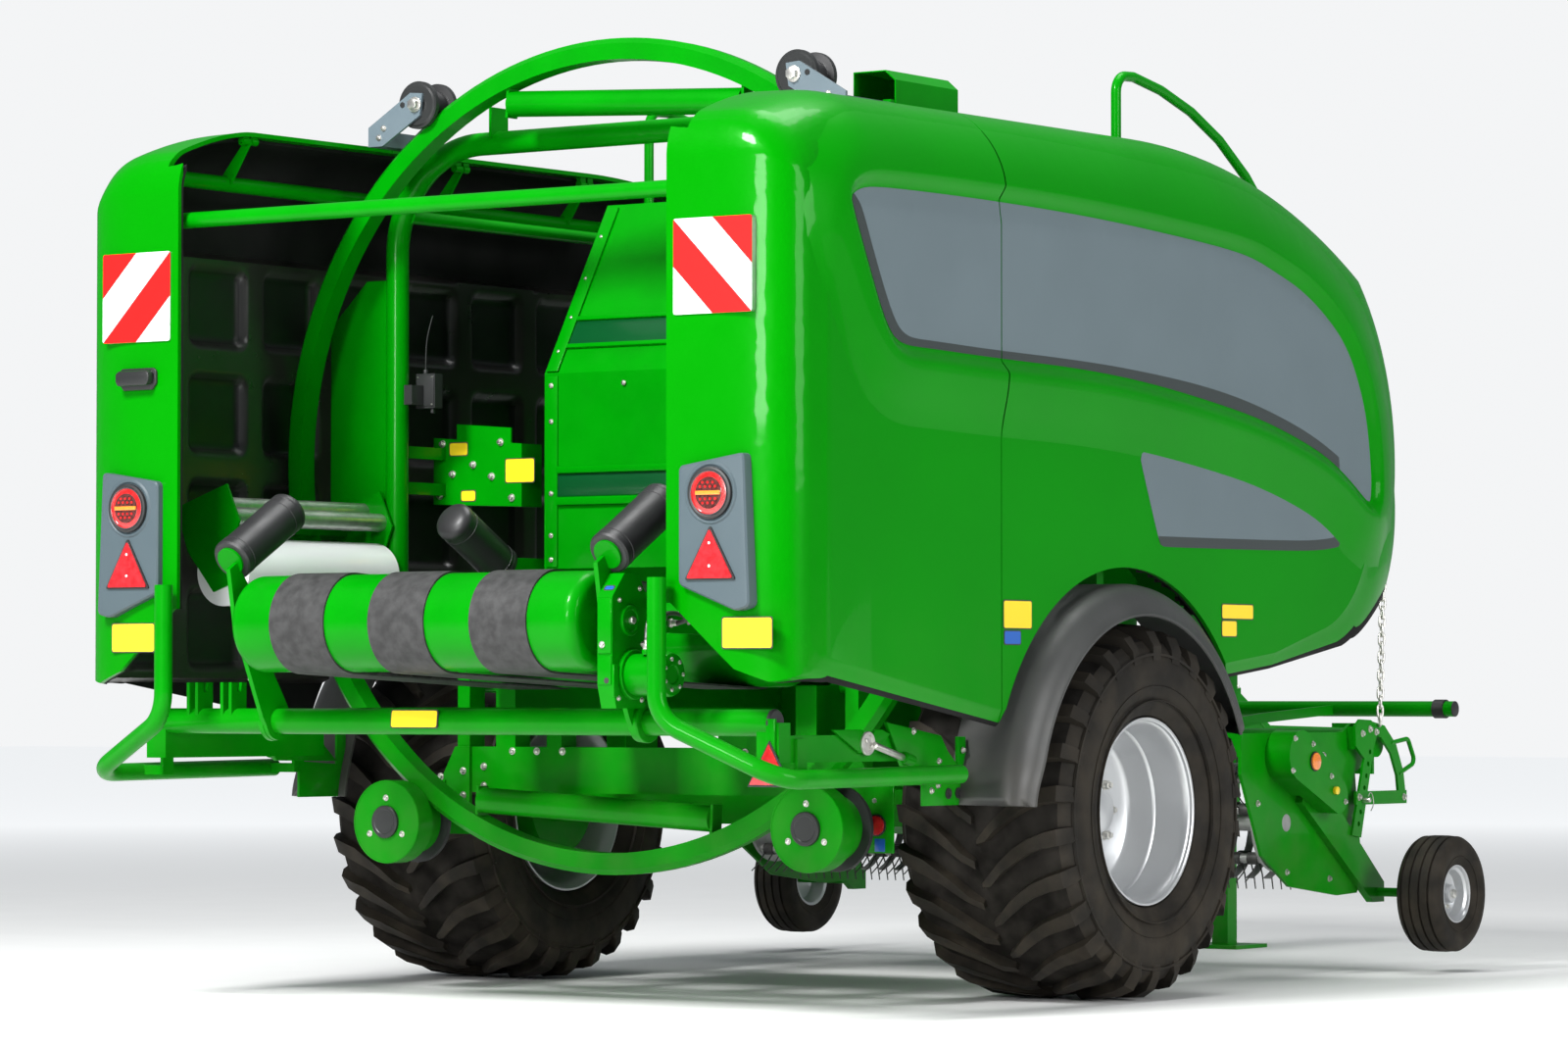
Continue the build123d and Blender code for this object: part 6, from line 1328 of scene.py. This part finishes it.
for s in (1, -1):
    for low, high in PRESSED_EDGES:
        add_rod(bm, at(low[0], BAR_SIDE * s, low[1]), at(high[0], BAR_SIDE * s, high[1]), 0.0045, steps=10,
                bevel=0.0005)
    for x, y in ((2.15, 0.52), (2.2, 0.44)):
        add_stud(bm, at(x, y * s, 0.994), UP, 0, 0.012, 0.013, steps=6, bevel=0.001, mat=1)
piece("drawbar_bolts", bm, "chassis", "green_paint", green_steel, zinc)

bm = bmesh.new()
add_turned(bm, WEAR_RING, at(HITCH_X, 0, HITCH_Z), UP, steps=40)
piece("hitch_wear_ring", bm, "chassis", "steel", bare_steel)

# ---------------------------------------------------------------- input shaft: splines, locking groove, fixed guard
SHAFT_Z = 1.125
TOOTH = ((0.0165, -0.0045), (0.0165, 0.0045), (0.02, 0.0035), (0.02, -0.0035))
GUARD_CONE = ((0, 0.0685), (0, 0.094), (0.006, 0.096), (0.012, 0.09), (0.02, 0.086), (0.105, 0.101),
              (0.112, 0.104), (0.115, 0.101), (0.104, 0.096), (0.02, 0.08), (0.008, 0.0685))
FILLER_CAP = ((-0.001, 0), (-0.001, 0.03), (0.01, 0.03), (0.013, 0.027), (0.013, 0))
shaft_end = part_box("pto_shaft")[1][0]
bm = bmesh.new()
for turn in range(6):
    angle = math.radians(60 * turn)
    radial = Vector((0, math.cos(angle), math.sin(angle)))
    side = Vector((0, -math.sin(angle), math.cos(angle)))
    for start, length in ((0.082, 0.034), (0.036, 0.034)):
        root = Vector((shaft_end - start, 0, SHAFT_Z))
        add_plate(bm, [root + radial * r + side * w for r, w in TOOTH], AHEAD * length, bevel=0.0006)
piece("shaft_splines", bm, "pto", "steel", bare_steel)

GEARBOX_X, CAP_Z = 1.795, 1.23
bm = bmesh.new()
case_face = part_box("gearbox")[1][0] - 0.004
add_turned(bm, GUARD_CONE, (case_face - 0.03, 0, SHAFT_Z), AHEAD)
for s in (1, -1):
    add_bolts(bm, [at(1.95, 0.118 * s, z) for z in (1.02, 1.205)], AHEAD, 0.011)
    add_bolts(bm, [at(x, 0.14 * s, z) for x in (1.67, 1.915) for z in (1.19, 1.04)], outward(s), 0.01)
add_turned(bm, FILLER_CAP, at(GEARBOX_X, 0, CAP_Z), UP, steps=32)
add_stud(bm, at(GEARBOX_X, 0, CAP_Z), UP, 0.012, 0.026, 0.014, steps=6, bevel=0.001, mat=1)
piece("shaft_guard", bm, "chassis", "black_plastic", cap_black, zinc)

# ---------------------------------------------------------------- jack: gear head, crank, rim of its sleeve
JACK_X, JACK_Y, JACK_SIDE = 3.25, 0.17, 0.0448
GEAR_HEAD = ((-0.002, 0), (-0.002, 0.05), (0.01, 0.05), (0.013, 0.047), (0.014, 0.036), (0.044, 0.033),
             (0.048, 0.028), (0.048, 0))
CRANK_GRIP = ((0, 0), (0, 0.015), (0.012, 0.018), (0.07, 0.016), (0.086, 0.018), (0.096, 0.012), (0.098, 0))
SLEEVE_PIN = ((-0.002, 0), (-0.002, 0.01), (0.003, 0.01), (0.006, 0.007), (0.006, 0))
bm = bmesh.new()
head = at(JACK_X, JACK_Y + JACK_SIDE, 0.915)
add_turned(bm, GEAR_HEAD, head, LEFT, steps=32)
add_bolts(bm, around(head + LEFT * 0.01, 0.041, 4, start=45), LEFT, 0.006)
hub = head + LEFT * 0.046
add_stud(bm, hub, LEFT, 0, 0.036, 0.012, steps=20, bevel=0.001, mat=1)
add_pipe(bm, [hub + Vector((0, y, z)) for y, z in ((0.026, 0), (0.03, 0.02), (0.03, 0.165), (0.034, 0.18),
                                                   (0.054, 0.185))], 0.0075, mat=1, resolution=6)
add_turned(bm, CRANK_GRIP, hub + Vector((0, 0.05, 0.185)), LEFT, steps=24, mat=2)
for out in (AHEAD, BACK, LEFT, RIGHT):
    wide = UP.cross(out)
    low = at(JACK_X, JACK_Y, 0.975) + out * 0.0438 - wide * 0.049
    high = at(JACK_X, JACK_Y, 0.999) + out * 0.049 + wide * 0.049
    add_box(bm, [min(pair) for pair in zip(low, high)], [max(pair) for pair in zip(low, high)], 0.002)
for z in (0.6, 0.7, 0.9):
    for out in (AHEAD, BACK):
        add_turned(bm, SLEEVE_PIN, at(JACK_X, JACK_Y, z) + out * JACK_SIDE, out, steps=16, mat=1)
piece("jack_crank", bm, "chassis", "green_paint", green_steel, zinc, cap_black)


# ---------------------------------------------------------------- floor, light and camera
STUDIO_WHITE = (0.95, 0.96, 0.97)
FLOOR_HALF, FLOOR_DROP = 60.0, 0.0005
floor_mat = material("studio_floor", (0.8, 0.8, 0.79), 0.6, mottle=0.02)
tree = floor_mat.node_tree
reach = add_node(tree, "VectorMath", (0, object_place(tree)), out="Value", operation="LENGTH")
# the floor glows with distance, so that it meets the backdrop without a line
set_inputs(tree, tree.nodes["Principled BSDF"], ("Emission Color", opaque(STUDIO_WHITE)),
           ("Emission Strength", spread(tree, reach, 5.0, 22.0, 0.0, 0.72)))
bm = bmesh.new()
bmesh.ops.create_grid(bm, x_segments=1, y_segments=1, size=FLOOR_HALF)
mesh = bpy.data.meshes.new("studio_floor")
bm.to_mesh(mesh)
bm.free()
floor = bpy.data.objects.new("studio_floor", mesh)
floor.data.materials.append(floor_mat)
floor.location.z = -FLOOR_DROP
bpy.context.scene.collection.objects.link(floor)

world = bpy.data.worlds.new("studio")
bpy.context.scene.world = world
world.use_nodes = True
tree = world.node_tree
set_inputs(tree, tree.nodes["Background"], ("Color", (0.86, 0.93, 1.0, 1.0)), ("Strength", 0.24))
backdrop = add_node(tree, "Background", ("Color", opaque(STUDIO_WHITE)), ("Strength", 0.95))
seen = add_node(tree, "LightPath", out="Is Camera Ray")
shade = tree.nodes["Background"].outputs["Background"]
sky = add_node(tree, "MixShader", ("Fac", seen), (1, shade), (2, backdrop))
set_inputs(tree, tree.nodes["World Output"], ("Surface", sky))


def soft_light(name, position, target, size, power):
    """A square soft box pointed at a target."""
    light = bpy.data.lights.new(name, "AREA")
    light.size = size
    light.energy = power
    lamp = bpy.data.objects.new(name, light)
    lamp.location = position
    lamp.rotation_euler = (Vector(target) - Vector(position)).to_track_quat("-Z", "Y").to_euler()
    bpy.context.scene.collection.objects.link(lamp)


soft_light("key_light", (-10.5, 0.5, 9.0), (-1.2, 0.0, 1.2), 2.2, 2200.0)
soft_light("bay_light", (-9.8, -1.2, 2.9), (-0.8, 0.8, 1.7), 1.6, 300.0)
soft_light("side_light", (-2.0, -12.0, 4.5), (0, 0.0, 1.3), 5.0, 740.0)
soft_light("top_light", (0.5, -1.0, 10.0), (0, 0.0, 1.0), 5.0, 600.0)

bpy.context.scene.view_settings.view_transform = "Standard"
bpy.context.scene.view_settings.exposure = 0.0

SENSOR, LENS_LENGTH = 36.0, 121.8
YAW, PITCH = math.radians(34.844), math.radians(1.866)
camera_data = bpy.data.cameras.new("camera")
camera_data.sensor_width = SENSOR
camera_data.lens = LENS_LENGTH
camera = bpy.data.objects.new("camera", camera_data)
camera.location = at(-14.504, -10.125, 0.967)
look = Vector((math.cos(YAW) * math.cos(PITCH), math.sin(YAW) * math.cos(PITCH), math.sin(PITCH)))
camera.rotation_euler = look.to_track_quat("-Z", "Y").to_euler()
bpy.context.scene.collection.objects.link(camera)
bpy.context.scene.camera = camera
